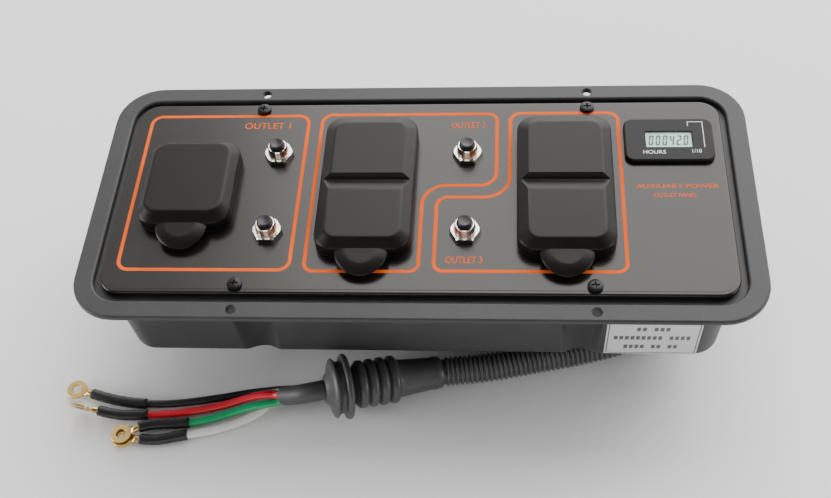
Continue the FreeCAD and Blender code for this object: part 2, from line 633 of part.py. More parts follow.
def make_locking():
    x, y = cover_span(1)[:2]
    rise = f"{FACE_TOP} - ({PANEL_UNDER})"
    face = cylinder("lock_face", "lock_radius", rise, x, y, PANEL_UNDER)
    tools = []
    low, deep = f"{FACE_TOP} - lock_slot_depth", "lock_slot_depth + over"
    circle = value("lock_slot_circle")
    for turn in range(4):
        angle = math.radians(45 + 90 * turn)
        dx, dy = round(circle * math.cos(angle), 3), round(circle * math.sin(angle), 3)
        slot = doc.addObject("Part::Box", "lock_slot")
        for side, text in (("Length", "lock_slot_length"), ("Width", "lock_slot_width"),
                           ("Height", deep)):
            slot.setExpression(side, sized(text))
        turned = FreeCAD.Rotation(FreeCAD.Vector(0, 0, 1), 135 + 90 * turn)
        half = turned.multVec(FreeCAD.Vector(value("lock_slot_length") / 2,
                                             value("lock_slot_width") / 2, 0))
        slot.Placement = FreeCAD.Placement(FreeCAD.Vector(), turned)
        put(slot, f"{x} + {dx} - ({half.x:.3f})", f"{y} + {dy} - ({half.y:.3f})", low)
        tools.append(slot)
    key = box("lock_key", "lock_slot_width", "lock_key_width", deep, f"{x} + lock_key_x",
              f"{y} + lock_key_y", low)
    keep("locking_face", cut("lock_face_cut", face, tools + [key]))
    plate = block("lock_plate", "lock_strap_width", "lock_strap", "strap_thick",
                  "lock_strap_corner", x, y, f"{PANEL_UNDER} - strap_thick")
    holes = strap_screw_holes(1, "screw_radius", f"{PANEL_UNDER} - strap_thick - over",
                              "strap_thick + 2*over")
    keep("locking_strap", cut("lock_plate_cut", plate, holes))
    keep("locking_body", cylinder("lock_body", "lock_body_radius", "lock_depth", x, y,
                                  f"{PANEL_UNDER} - strap_thick - lock_depth"))
    clamps, circle = [], value("clamp_circle")
    for turn in range(4):
        angle = math.radians(45 + 90 * turn)
        dx, dy = round(circle * math.cos(angle), 2), round(circle * math.sin(angle), 2)
        clamps.append(cylinder("clamp_screw", "clamp_radius", "clamp_height",
                               f"{x} + {dx}", f"{y} + {dy}",
                               f"{PANEL_UNDER} - strap_thick - lock_depth - clamp_height"))
    keep("locking_terminals", group("clamp_group", clamps))


def make_strap_screws():
    items = []
    for index in (1, 2, 3):
        for x, y in strap_screw_places(index):
            items.append(screw("strap_screw", x, y, f"{PANEL_TOP} + strap_seat",
                               "strap_screw_length", head="strap_head_radius",
                               head_height="strap_head_height"))
    keep("strap_screws", group("strap_screw_group", items))


# ---------------------------------------------------------------- breakers
def make_breaker(number, x, y):
    """Case under the panel, threaded bushing through it, sliding button inside."""
    case = block(f"breaker_case_{number}", "breaker_width", "breaker_length", "breaker_depth",
                 "breaker_corner", x, y, f"{PANEL_UNDER} - breaker_depth")
    bushing = cylinder("bushing", "bushing_radius", f"bushing_rise + {PANEL_TOP} - "
                       f"({PANEL_UNDER}) + over", x, y, f"{PANEL_UNDER} - over")
    solid = fuse(f"breaker_solid_{number}", [case, bushing])
    bore = cylinder("button_bore", "button_radius + button_fit", "breaker_depth", x, y,
                    f"{PANEL_UNDER} - button_bore_depth")
    keep(f"breaker_body_{number}", cut(f"breaker_bored_{number}", solid, [bore]))
    height = f"bushing_rise + button_rise + {PANEL_TOP} - ({PANEL_UNDER}) + button_depth"
    button = cylinder(f"button_{number}", "button_radius", height, x, y,
                      f"{PANEL_UNDER} - button_depth")
    crown = value(f"{PANEL_UNDER} - button_depth + {height}")
    keep(f"breaker_button_{number}",
         rounded_edges(f"button_round_{number}", button, level_edge(crown), "button_edge"))


def hexagon(name, flats, height, x, y, z):
    item = doc.addObject("Part::Prism", name)
    item.Polygon = 6
    item.setExpression("Circumradius", sized(f"({flats})/sqrt(3)"))
    item.setExpression("Height", sized(height))
    return put(item, x, y, z)


def make_breakers():
    nuts, blades = [], []
    places = [(x, y) for x in ("breaker1_x", "breaker2_x") for y in ("breaker_y", "-breaker_y")]
    for number, (x, y) in enumerate(places, start=1):
        make_breaker(number, x, y)
        nut = hexagon("nut", "nut_flats", "nut_height", x, y, PANEL_TOP)
        bore = cylinder("nut_bore", "bushing_radius", "nut_height + 2*over", x, y,
                        f"{PANEL_TOP} - over")
        nuts.append(cut("nut_bored", nut, [bore]))
        for side in (1, -1):
            blades.append(box("blade", "blade_width", "blade_thick", "blade_length", x,
                              f"{y} + {side}*blade_offset",
                              f"{PANEL_UNDER} - breaker_depth - blade_length"))
    keep("breaker_nuts", group("nut_group", nuts))
    keep("breaker_terminals", group("blade_group", blades))


# ---------------------------------------------------------------- hour meter
def make_meter():
    body = new_body("meter_body")
    pad(body, rounded_sketch(body, "bezel_length", "bezel_width", "bezel_corner",
                             "meter_x", "meter_y", PANEL_TOP), "bezel_height")
    pad(body, rounded_sketch(body, "meter_length", "meter_width", "meter_corner",
                             "meter_x", "meter_y", PANEL_TOP), "meter_depth", down=True)
    pocket(body, rounded_sketch(body, "display_length", "display_width", "display_corner",
                                "meter_x", "meter_y", f"{PANEL_TOP} + bezel_height"),
           "display_sink")
    doc.recompute()
    at_top = level_edge(value(f"{PANEL_TOP} + bezel_height"))
    centre = FreeCAD.Vector(value("meter_x"), value("meter_y"))

    def outer_edge(edge):
        away = edge.CenterOfMass - centre
        return at_top(edge) and (abs(away.x) > value("display_length/2 + over")
                                 or abs(away.y) > value("display_width/2 + over"))
    picked = rounded_edges("meter_rounded", body, outer_edge, "bezel_edge")
    keep("meter_case", picked)
    low = f"{PANEL_TOP} + bezel_height - display_sink"
    keep("meter_display", block("display", "display_length - 2*display_gap",
                                "display_width - 2*display_gap", "display_thick",
                                "glass_corner", "meter_x", "meter_y", low))
    keep("meter_window", block("meter_glass", "display_length - 2*display_gap",
                               "display_width - 2*display_gap", "glass_thick", "glass_corner",
                               "meter_x", "meter_y", f"{low} + display_thick"))
    blades = [box("meter_blade", "blade_thick", "blade_width", "meter_blade_length",
                  f"meter_x + {side}*meter_blade_x", "meter_y",
                  f"{PANEL_TOP} - meter_depth - meter_blade_length") for side in (1, -1)]
    keep("meter_terminals", group("meter_blades", blades))
    clip = block("clip_outer", "meter_length + 2*clip_rim", "meter_width + 2*clip_rim",
                 "clip_height", "clip_corner", "meter_x", "meter_y",
                 f"{PANEL_UNDER} - clip_height")
    clip_hole = block("clip_inner", "meter_length", "meter_width", "clip_height + 2*over",
                      "meter_corner", "meter_x", "meter_y",
                      f"{PANEL_UNDER} - clip_height - over")
    keep("meter_clip", cut("clip_cut", clip, [clip_hole]))


def make_label():
    """Plain rating plate on the front wall, set against the drafted face."""
    lean = value("tub_draft")
    plate = doc.addObject("Part::Box", "rating_plate")
    for side, text in (("Length", "49"), ("Width", "0.6"), ("Height", "34")):
        plate.setExpression(side, text)
    turn = FreeCAD.Rotation(FreeCAD.Vector(1, 0, 0), lean)
    plate.Placement = FreeCAD.Placement(FreeCAD.Vector(), turn)
    top = value("flange_top - flange_thick - shoulder_thick")
    low = 31.0
    wall_y = -value("tub_width") / 2 + (top - low) * math.tan(math.radians(lean))
    put(plate, "100", f"{wall_y - 0.66:.3f}", f"{low}")
    keep("rating_label", plate)


# ---------------------------------------------------------------- harness
def rounded_route(points, name):
    """Straight runs joined by tangent arcs as large as the runs allow."""
    stops = [FreeCAD.Vector(*point) for point in points]
    edges, radii = [], []
    last = stops[0]
    for before, corner, after in zip(stops, stops[1:], stops[2:]):
        into, out = corner - before, after - corner
        run = 0.45 * min(into.Length, out.Length)
        turn = into.getAngle(out)
        radius = run / math.tan(turn / 2)
        into.normalize()
        out.normalize()
        start, end = corner - into * run, corner + out * run
        inward = out - into
        inward.normalize()
        middle = corner + inward * (radius / math.cos(turn / 2) - radius)
        edges.append(Part.LineSegment(last, start).toShape())
        edges.append(Part.Arc(start, middle, end).toShape())
        radii.append(radius)
        last = end
    edges.append(Part.LineSegment(last, stops[-1]).toShape())
    wire = Part.Wire(edges)
    print(name, "length", round(wire.Length, 1), "radii", [round(item, 1) for item in radii])
    return wire


def tube(label, points, diameter):
    wire = rounded_route(points, label)
    start = FreeCAD.Vector(*points[0])
    heading = FreeCAD.Vector(*points[1]) - start
    radius = value(diameter) / 2
    ring = Part.Wire([Part.makeCircle(radius, start, heading)])
    shape = Part.Wire(wire).makePipeShell([ring], True, True)
    expected = math.pi * radius ** 2 * wire.Length
    print(label, "volume over section times length", round(shape.Volume / expected, 4))
    item = doc.addObject("Part::Feature", label)
    item.Shape = shape
    item.Placement = FreeCAD.Placement()
    return item


# Route points, from the gland towards the ring terminals.
CONDUIT = [(143, 0, 13.2), (141.2, -15.3, 12.8), (134, -28.9, 11), (122.9, -39.4, 9),
           (109.2, -45.6, 8.2), (93.6, -50.2, 8.1), (78, -54.1, 8.1), (62.4, -57.4, 8.1),
           (46.9, -61.1, 8.1), (31.3, -63.8, 8.1), (20, -65.2, 8.4), (10.5, -66.6, 9)]
BOOT_START = (10.5, -66.6, 9)
BOOT_END = (-52, -85.4, 21.3)
JACKET = [(-52, -85.4, 21.3), (-57.8, -87.2, 22), (-64.4, -87.4, 19.6), (-70.4, -86, 15.2),
          (-76, -83.8, 11)]
BLACK = [(-86, -79.2, 7.2), (-97, -78.8, 4.1), (-109, -81, 3.3), (-123, -83.6, 3.3),
         (-136, -85.6, 3.3), (-148.5, -86.6, 3.3), (-163, -86.2, 3.3), (-174, -84.6, 3.3),
         (-183, -82.4, 3.3), (-190, -80.4, 3.3)]
RED = [(-86.5, -83.4, 11.4), (-97, -84.2, 8.2), (-108, -86.6, 5), (-121, -89.2, 3.4),
       (-135, -91.8, 3.3), (-148, -93.1, 3.3), (-160, -93.7, 3.4), (-171.5, -94.6, 4.6),
       (-183, -92.6, 6.4)]
GREEN = [(-86, -88, 8.2), (-96, -89.2, 7), (-107, -92.2, 4.4), (-117, -95.2, 3.4),
         (-125, -97.2, 3.3), (-134, -98.5, 3.3), (-144, -98.9, 3.4), (-152, -99.7, 4.2),
         (-158, -102.2, 5)]
WHITE = [(-84, -82.2, 3.8), (-90.8, -91.4, 3.3), (-102.5, -97.8, 3.3), (-114.5, -102, 3.3),
         (-125.2, -104.5, 3.3), (-134, -105.8, 3.3), (-142, -108, 3.3), (-149, -109, 3.3),
         (-156.5, -108.4, 3.3)]
WIRES = {
    "black": (BLACK, 20, 6), "red": (RED, 110, 6), "green": (GREEN, 200, 5),
    "white": (WHITE, 290, 5),
}
WIRE_RING = 3.2


def jacket_plane():
    """End of the jacket, its heading and two directions across it."""
    end = FreeCAD.Vector(*JACKET[-1])
    heading = end - FreeCAD.Vector(*JACKET[-2])
    heading.normalize()
    across = FreeCAD.Vector(0, 1, 0) - heading * heading.y
    across.normalize()
    upward = heading.cross(across)
    if upward.z < 0:
        upward = upward * -1
    return end, heading, across, upward


def wire_start(angle):
    """Where one wire leaves the jacket's end face, and a point straight ahead of it."""
    end, heading, across, upward = jacket_plane()
    turn = math.radians(angle)
    start = end + across * (WIRE_RING * math.cos(turn)) + upward * (WIRE_RING * math.sin(turn))
    return tuple(start), tuple(start + heading * 4)


def make_gland():
    """Conduit gland: round collar outside the wall, thread and locknut inside."""
    collar = cylinder("gland_collar", "gland_radius", "gland_length", "gland_x",
                      "notch_back - gland_length", "gland_axis", axis="y")
    thread = cylinder("gland_thread", "gland_thread", "wall + gland_inside + 2*over", "gland_x",
                      "notch_back - 2*over", "gland_axis", axis="y")
    solid = fuse("gland_solid", [collar, thread])
    bore = cylinder("gland_bore", "gland_bore", "gland_length + wall + gland_inside + 2*over",
                    "gland_x", "notch_back - gland_length - over", "gland_axis", axis="y")
    keep("conduit_gland", cut("gland_cut", solid, [bore]))
    nut = cylinder("locknut_disc", "gland_thread + locknut_rim", "locknut_height", "gland_x",
                   "notch_back + wall", "gland_axis", axis="y")
    hole = cylinder("locknut_hole", "gland_thread", "locknut_height + 2*over", "gland_x",
                    "notch_back + wall - over", "gland_axis", axis="y")
    keep("gland_locknut", cut("locknut", nut, [hole]))


def make_boot():
    """Rubber boot turned about its own axis: sleeve, four bellows ribs, panel grommet."""
    start, end = FreeCAD.Vector(*BOOT_START), FreeCAD.Vector(*BOOT_END)
    total = (end - start).Length
    rib, rim = value("bellows_radius"), value("grommet_radius")
    body = new_body("boot_turned")
    sketch = body.newObject("Sketcher::SketchObject", "profile")
    sketch.AttachmentSupport = [(plane_of(body, "XZ_Plane"), "")]
    sketch.MapMode = "FlatFace"
    outline = [(0, 0), (8.9, 0), (10.6, 24.5), (rib - 1.6, 25.5)]
    ribs_from, rib_pitch = 25.5, 6.0
    for number in range(4):
        low = ribs_from + number * rib_pitch
        outline += [(rib, low + 1), (rib, low + 4), (rib - 2.6, low + 5)]
    outline += [(9.2, 51), (rim, 53), (rim, 56), (14.5, 57), (14.5, 59.5), (rim - 1.5, 60.5),
                (rim - 3, 63), (8, total), (0, total)]
    for first, second in zip(outline, outline[1:] + outline[:1]):
        sketch.addGeometry(Part.LineSegment(FreeCAD.Vector(*first, 0),
                                            FreeCAD.Vector(*second, 0)), False)
    count = len(outline)
    for index in range(count):
        sketch.addConstraint(Sketcher.Constraint("Coincident", index, 2, (index + 1) % count, 1))
    turned = body.newObject("PartDesign::Revolution", "turned")
    turned.Profile = sketch
    turned.ReferenceAxis = (sketch, ["V_Axis"])
    turned.Angle = 360
    heading = end - start
    body.Placement = FreeCAD.Placement(start, FreeCAD.Rotation(FreeCAD.Vector(0, 0, 1), heading))
    keep("harness_boot", body)


def ring_terminal(name, centre, heading, flat=True):
    """Flat ring with a tongue and a crimp barrel that meets its sleeve."""
    ring = doc.addObject("Part::Cylinder", name + "_ring")
    ring.setExpression("Radius", sized("ring_radius"))
    ring.setExpression("Height", sized("ring_thick"))
    hole = doc.addObject("Part::Cylinder", name + "_hole")
    hole.setExpression("Radius", sized("ring_hole"))
    hole.setExpression("Height", sized("ring_thick + 4*over"))
    hole.Placement = FreeCAD.Placement(FreeCAD.Vector(0, 0, -2), FreeCAD.Rotation())
    tongue = doc.addObject("Part::Box", name + "_tongue")
    for side, text in (("Length", "ring_radius + tongue_reach"), ("Width", "tongue_width"),
                       ("Height", "ring_thick")):
        tongue.setExpression(side, sized(text))
    tongue.Placement = FreeCAD.Placement(FreeCAD.Vector(0, -value("tongue_width") / 2, 0),
                                         FreeCAD.Rotation())
    barrel = doc.addObject("Part::Cylinder", name + "_barrel")
    barrel.setExpression("Radius", sized("crimp_radius"))
    barrel.setExpression("Height", sized("crimp_length"))
    thick = value("ring_thick")
    along = FreeCAD.Vector(value("ring_radius + barrel_start"), 0, thick)
    barrel.Placement = FreeCAD.Placement(along, FreeCAD.Rotation(FreeCAD.Vector(0, 1, 0), 90))
    solid = cut(name, fuse(name + "_solid", [ring, tongue, barrel]), [hole])
    reach = value("ring_radius + barrel_start + crimp_length")
    spin = FreeCAD.Rotation(FreeCAD.Vector(1, 0, 0), FreeCAD.Vector(*heading))
    roll = FreeCAD.Rotation(FreeCAD.Vector(1, 0, 0), 0 if flat else 78)
    turn = spin.multiply(roll)
    place = FreeCAD.Vector(*centre) - turn.multVec(FreeCAD.Vector(reach, 0, thick))
    solid.Placement = FreeCAD.Placement(place, turn)
    return solid


def make_wires():
    """Four wires, each a bare insulated stretch, a shrink sleeve and a ring terminal."""
    rings, sleeves = [], []
    for name, (points, angle, split) in WIRES.items():
        start, ahead = wire_start(angle)
        pair = zip(points[split - 1], points[split])
        middle = tuple((first + second) / 2 for first, second in pair)
        bare = [start, ahead] + points[:split] + [middle]
        keep(f"wire_{name}", tube(f"tube_{name}", bare, "wire_diameter"))
        sleeves.append(tube(f"sleeve_{name}", [middle] + points[split:], "sleeve_diameter"))
        last, before = FreeCAD.Vector(*points[-1]), FreeCAD.Vector(*points[-2])
        back = before - last
        rings.append(ring_terminal(f"ring_{name}", tuple(last), tuple(back),
                                   flat=name != "red"))
    keep("shrink_sleeves", group("sleeve_group", sleeves))
    keep("ring_terminals", group("ring_group", rings))


def make_inner_wires():
    """Leads inside the tub from the gland to the breakers."""
    items = []
    inner_y = value("notch_back + wall + gland_inside")
    for number, (x, y) in enumerate(((-79.5, 26.7), (-79.5, -26.7), (26, 26.7), (26, -26.7))):
        shift = (number - 1.5) * 3.2
        start = (143 + shift, inner_y + 0.5, 13.2)
        floor = 8 + number * 4.4
        end_y = y + 9
        route = [start, (141 + shift, inner_y + 9, floor + 1), (128, 50 - number, floor),
                 (96, 48 - number * 4, floor), (x + 34, end_y + 3, 32 - number),
                 (x + 12, end_y + 1, 36), (x + 2, end_y + 0.4, 42),
                 (x, end_y, value("flange_top - flange_thick + gasket_thick") - 36)]
        items.append(tube(f"lead_{number}", route, "wire_diameter*0.7"))
    keep("inner_leads", group("lead_group", items))


def make_harness():
    make_gland()
    keep("conduit", tube("conduit_tube", CONDUIT, "conduit_diameter"))
    make_boot()
    keep("harness_jacket", tube("jacket_tube", JACKET, "jacket_diameter"))
    make_wires()


# ---------------------------------------------------------------- build and export
def build():
    make_housing()
    make_gasket()
    make_panel()
    make_panel_fasteners()
    make_label()
    for index in (1, 2, 3):
        make_cover_base(index)
        make_cover_lid(index)
        make_hinge_pin(index)
    make_locking()
    for index in (2, 3):
        make_duplex(index)
    make_terminals()
    make_strap_screws()
    make_breakers()
    make_meter()
    make_harness()
    make_inner_wires()
    doc.recompute()


def check():
    """Stops before anything is written if any object failed or a shape is bad."""
    for item in doc.Objects:
        if "Invalid" in item.State or "Error" in item.State:
            raise RuntimeError(f"{item.Name} ({item.Label}) failed: {item.State}")
    for label, item in nodes.items():
        shape = item.Shape
        if shape.isNull() or not shape.isValid() or not shape.Solids:
            raise RuntimeError(f"{label} has no valid solid")
        print(f"{label:22s} solids {len(shape.Solids)} volume {shape.Volume:10.1f}")


def export():
    os.makedirs("parts", exist_ok=True)
    for label, item in nodes.items():
        item.Shape.exportStep(f"parts/{label}.step")
    print(len(nodes), "sub-parts")


build()
check()
export()
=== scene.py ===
import json
import math

import bmesh
import bpy
from mathutils import Matrix, Vector


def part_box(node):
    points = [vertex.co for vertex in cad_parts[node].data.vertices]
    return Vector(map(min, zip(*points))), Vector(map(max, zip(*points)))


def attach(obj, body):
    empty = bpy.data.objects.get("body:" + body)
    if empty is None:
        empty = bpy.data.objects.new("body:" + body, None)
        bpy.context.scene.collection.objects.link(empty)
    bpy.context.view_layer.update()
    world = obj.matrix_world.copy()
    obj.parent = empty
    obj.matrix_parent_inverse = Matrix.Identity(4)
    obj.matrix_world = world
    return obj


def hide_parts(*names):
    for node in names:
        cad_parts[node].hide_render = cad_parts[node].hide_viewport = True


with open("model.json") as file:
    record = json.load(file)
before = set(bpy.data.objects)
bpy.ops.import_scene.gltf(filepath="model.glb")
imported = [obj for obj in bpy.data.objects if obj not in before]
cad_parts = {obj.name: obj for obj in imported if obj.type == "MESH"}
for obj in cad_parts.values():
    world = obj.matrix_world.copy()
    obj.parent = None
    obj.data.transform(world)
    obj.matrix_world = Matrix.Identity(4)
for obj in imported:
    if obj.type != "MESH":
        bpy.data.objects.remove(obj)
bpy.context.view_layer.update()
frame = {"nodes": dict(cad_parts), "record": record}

MM = 0.001
BODY = "panel_body"
WARM = (1.0, 0.955, 0.92)
BUMP_DISTANCE = 0.0004
PANEL_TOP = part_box("face_panel")[1].z / MM
FLANGE_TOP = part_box("housing")[1].z / MM

# ---------------------------------------------------------------- camera
CAMERA_AT = Vector((50.8, -376.7, 565.9)) * MM
CAMERA_FORWARD = Vector((-0.0857, 0.5764, -0.8127))
CAMERA_UP = Vector((-0.003, 0.8155, 0.5787))
FOCAL_LENGTH = 48.82
SENSOR_WIDTH = 36.0


def make_camera():
    data = bpy.data.cameras.new("camera")
    data.lens = FOCAL_LENGTH
    data.sensor_width = SENSOR_WIDTH
    data.clip_start, data.clip_end = 0.01, 20
    camera = bpy.data.objects.new("camera", data)
    bpy.context.scene.collection.objects.link(camera)
    forward = CAMERA_FORWARD.normalized()
    right = forward.cross(CAMERA_UP).normalized()
    up = right.cross(forward)
    turn = Matrix((right, up, -forward)).transposed()
    camera.matrix_world = Matrix.Translation(CAMERA_AT) @ turn.to_4x4()
    bpy.context.scene.camera = camera


make_camera()


# ---------------------------------------------------------------- materials
def material(name, color, roughness=0.5, metallic=0.0, specular=0.5, grain=0.0, grain_scale=900.0,
             shade=0.12, shade_scale=60.0, stretch=(1, 1, 1), alpha=1.0,
             rough_spread=0.06, tint=(1, 1, 1)):
    """Principled surface with mottled colour, uneven roughness and a fine bump, all procedural."""
    made = bpy.data.materials.new(name)
    made.use_nodes = True
    nodes, links = made.node_tree.nodes, made.node_tree.links
    shader = nodes["Principled BSDF"]
    shader.inputs["Metallic"].default_value = metallic
    shader.inputs["Specular IOR Level"].default_value = specular
    shader.inputs["Specular Tint"].default_value = (*tint, 1)
    shader.inputs["Alpha"].default_value = alpha
    place = nodes.new("ShaderNodeTexCoord")
    mapping = nodes.new("ShaderNodeMapping")
    mapping.inputs["Scale"].default_value = stretch
    links.new(place.outputs["Object"], mapping.inputs["Vector"])
    broad = nodes.new("ShaderNodeTexNoise")
    broad.inputs["Scale"].default_value = shade_scale
    broad.inputs["Detail"].default_value = 4
    links.new(mapping.outputs["Vector"], broad.inputs["Vector"])
    ramp = nodes.new("ShaderNodeValToRGB")
    low, high = ramp.color_ramp.elements
    low.position, high.position = 0.3, 0.7
    low.color = tuple(c * (1 - shade) for c in color) + (1,)
    high.color = tuple(min(1, c * (1 + shade)) for c in color) + (1,)
    links.new(broad.outputs["Fac"], ramp.inputs["Fac"])
    links.new(ramp.outputs["Color"], shader.inputs["Base Color"])
    spread = nodes.new("ShaderNodeMapRange")
    spread.inputs["To Min"].default_value = max(0.02, roughness - rough_spread)
    spread.inputs["To Max"].default_value = min(1, roughness + rough_spread)
    links.new(broad.outputs["Fac"], spread.inputs["Value"])
    links.new(spread.outputs["Result"], shader.inputs["Roughness"])
    if grain:
        fine = nodes.new("ShaderNodeTexNoise")
        fine.inputs["Scale"].default_value = grain_scale
        fine.inputs["Detail"].default_value = 3
        links.new(mapping.outputs["Vector"], fine.inputs["Vector"])
        bump = nodes.new("ShaderNodeBump")
        bump.inputs["Strength"].default_value = grain
        bump.inputs["Distance"].default_value = BUMP_DISTANCE
        links.new(fine.outputs["Fac"], bump.inputs["Height"])
        links.new(bump.outputs["Normal"], shader.inputs["Normal"])
    return made


LOOKS = {
    "moulded_grey": dict(color=(0.031, 0.031, 0.0325), roughness=0.5, specular=0.42, grain=0.3,
                         grain_scale=1500),
    "gasket_foam": dict(color=(0.012, 0.012, 0.012), roughness=0.9, grain=0.6, grain_scale=1200),
    "satin_panel": dict(color=(0.010, 0.0092, 0.0085), roughness=0.24, specular=0.46, shade=0.1,
                        tint=WARM,
                        rough_spread=0.03, grain=0.03, grain_scale=700),
    "black_screw": dict(color=(0.012, 0.012, 0.013), roughness=0.32, metallic=0.6, grain=0.1),
    "brass_part": dict(color=(0.62, 0.43, 0.16), roughness=0.28, metallic=1.0, grain=0.1),
    "label_stock": dict(color=(0.58, 0.58, 0.575), roughness=0.42, shade=0.04, grain=0.04),
    "receptacle_black": dict(color=(0.014, 0.014, 0.014), roughness=0.36, grain=0.1),
    "zinc_steel": dict(color=(0.5, 0.5, 0.52), roughness=0.34, metallic=1.0, grain=0.08,
                       stretch=(1, 8, 1)),
    "nickel_plate": dict(color=(0.8, 0.76, 0.69), roughness=0.16, metallic=1.0, grain=0.05,
                         shade=0.05, rough_spread=0.05),
    "meter_black": dict(color=(0.008, 0.009, 0.0085), roughness=0.4, specular=0.18, grain=0.1),
    "lcd_face": dict(color=(0.6, 0.95, 0.8), roughness=0.5, specular=0.2, shade=0.05,
                     shade_scale=200),
    "clear_window": dict(color=(0.75, 0.85, 0.82), roughness=0.12, alpha=0.06, shade=0.02,
                         rough_spread=0.02),
    "gland_nylon": dict(color=(0.012, 0.012, 0.012), roughness=0.44, grain=0.15),
    "conduit_black": dict(color=(0.075, 0.075, 0.076), roughness=0.34, grain=0.1),
    "boot_rubber": dict(color=(0.055, 0.055, 0.056), roughness=0.4, grain=0.2, grain_scale=1100),
    "jacket_grey": dict(color=(0.05, 0.05, 0.052), roughness=0.5, grain=0.15),
    "wire_black": dict(color=(0.011, 0.011, 0.012), roughness=0.38, grain=0.08),
    "wire_red": dict(color=(0.68, 0.012, 0.028), roughness=0.36, grain=0.08, shade=0.08),
    "wire_green": dict(color=(0.003, 0.38, 0.13), roughness=0.36, grain=0.08, shade=0.08),
    "wire_white": dict(color=(0.78, 0.78, 0.76), roughness=0.4, grain=0.08, shade=0.03),
    "sleeve_black": dict(color=(0.009, 0.009, 0.01), roughness=0.4, grain=0.25, grain_scale=700),
    "cover_rubber": dict(color=(0.008, 0.0075, 0.0071), roughness=0.36, specular=0.2, tint=WARM,
                         grain=0.15, grain_scale=1700, shade=0.1),
    "button_grey": dict(color=(0.05, 0.05, 0.05), roughness=0.4, grain=0.1),
    "button_red": dict(color=(0.35, 0.02, 0.015), roughness=0.4, grain=0.1),
    "button_black": dict(color=(0.012, 0.009, 0.013), roughness=0.34, specular=0.4, grain=0.05),
}
MATERIALS = {slot: material(slot, **look) for slot, look in LOOKS.items()}
ORANGE = material("print_orange", (0.9, 0.125, 0.012), roughness=0.8, specular=0.03, shade=0.08,
                  grain=0.05)
WHITE_PRINT = material("print_white", (0.8, 0.8, 0.8), roughness=0.45, shade=0.03)
DIGIT_INK = material("digit_ink", (0.05, 0.075, 0.07), roughness=0.4, shade=0.05)
LABEL_INK = material("label_ink", (0.09, 0.09, 0.09), roughness=0.5, shade=0.05)

node_slot = {part["node"]: part["material_slot"] for part in frame["record"]["subparts"]}
for node, item in frame["nodes"].items():
    item.data.materials.clear()
    item.data.materials.append(MATERIALS[node_slot[node]])


# ---------------------------------------------------------------- mesh helpers
def finish_mesh(name, mesh, slot, body=BODY, replaces=(), look=None, crease=35):
    mesh.materials.clear()
    mesh.materials.append(look or MATERIALS[slot])
    mesh.shade_smooth()
    mesh.set_sharp_from_angle(angle=math.radians(crease))
    made = bpy.data.objects.new(name, mesh)
    bpy.context.scene.collection.objects.link(made)
    even = made.modifiers.new("even", "WEIGHTED_NORMAL")
    even.keep_sharp, even.weight = True, 90
    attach(made, body)
    if replaces:
        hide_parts(*replaces)
    return made


def mesh_of(loops, ring=False):
    """Skin over loops of equally many points, in millimetres: a ring of loops, or capped at both ends."""
    bm = bmesh.new()
    rows = [[bm.verts.new(Vector(p) * MM) for p in loop] for loop in loops]
    count = len(rows[0])
    pairs = list(zip(rows, rows[1:])) + ([(rows[-1], rows[0])] if ring else [])
    for low, high in pairs:
        for i in range(count):
            j = (i + 1) % count
            bm.faces.new((low[i], low[j], high[j], high[i]))
    if not ring:
        bm.faces.new(rows[0][::-1])
        bm.faces.new(rows[-1])
    bmesh.ops.remove_doubles(bm, verts=bm.verts, dist=1e-7)
    bmesh.ops.dissolve_degenerate(bm, edges=bm.edges, dist=1e-7)
    bmesh.ops.recalc_face_normals(bm, faces=bm.faces)
    mesh = bpy.data.meshes.new("part")
    bm.to_mesh(mesh)
    bm.free()
    return mesh


def shifted(corners, distance):
    """A counter-clockwise outline moved outwards, corner by corner."""
    moved = []
    count = len(corners)
    for i in range(count):
        before, here, after = (Vector(corners[(i + k) % count]) for k in (-1, 0, 1))
        first, second = (here - before).normalized(), (after - here).normalized()
        out_first, out_second = Vector((first.y, -first.x)), Vector((second.y, -second.x))
        moved.append(here + (out_first + out_second) * (distance / (1 + out_first.dot(out_second))))
    return moved


def outline(corners, radii, offset=0.0, steps=8):
    """Points of a counter-clockwise outline with rounded corners, moved outwards by offset."""
    moved = shifted(corners, offset)
    points, count = [], len(moved)
    for i in range(count):
        before, here, after = moved[i - 1], moved[i], moved[(i + 1) % count]
        back, ahead = (before - here).normalized(), (after - here).normalized()
        left_turn = (here - before).normalized().cross((after - here).normalized()) > 0
        radius = max(radii[i] + (offset if left_turn else -offset), 0.05)
        half = math.acos(max(-1, min(1, back.dot(ahead)))) / 2
        reach = radius / math.tan(half)
        centre = here + (back + ahead).normalized() * (radius / math.sin(half))
        start, end = here + back * reach - centre, here + ahead * reach - centre
        turn = start.angle_signed(end) if start.length > 0 else 0
        for k in range(steps + 1):
            angle = -turn * k / steps
            c, s = math.cos(angle), math.sin(angle)
            points.append(centre + Vector((start.x * c - start.y * s, start.x * s + start.y * c)))
    return points


def corners_of(x0, y0, x1, y1):
    return [(x0, y0), (x1, y0), (x1, y1), (x0, y1)]


def rectangle(x, y, length, width):
    return corners_of(x - length / 2, y - width / 2, x + length / 2, y + width / 2)


def levels(corners, radii, stack, steps=8):
    """Solid from (height, offset) pairs of one rounded outline."""
    return mesh_of([[(p.x, p.y, z) for p in outline(corners, radii, d, steps)] for z, d in stack])


def edge_arc(top, radius, out=0.0, steps=4):
    """(height, offset) pairs of a rounded upper edge."""
    return [(top - radius + radius * math.sin(t), out - radius + radius * math.cos(t))
            for t in (math.pi / 2 * k / steps for k in range(steps + 1))]


def foot_arc(bottom, radius, out=0.0, steps=4):
    """(height, offset) pairs of a rounded lower edge."""
    return [(bottom + radius - radius * math.cos(t), out - radius + radius * math.sin(t))
            for t in (math.pi / 2 * k / steps for k in range(steps + 1))]


def angles(count):
    return [2 * math.pi * k / count for k in range(count)]


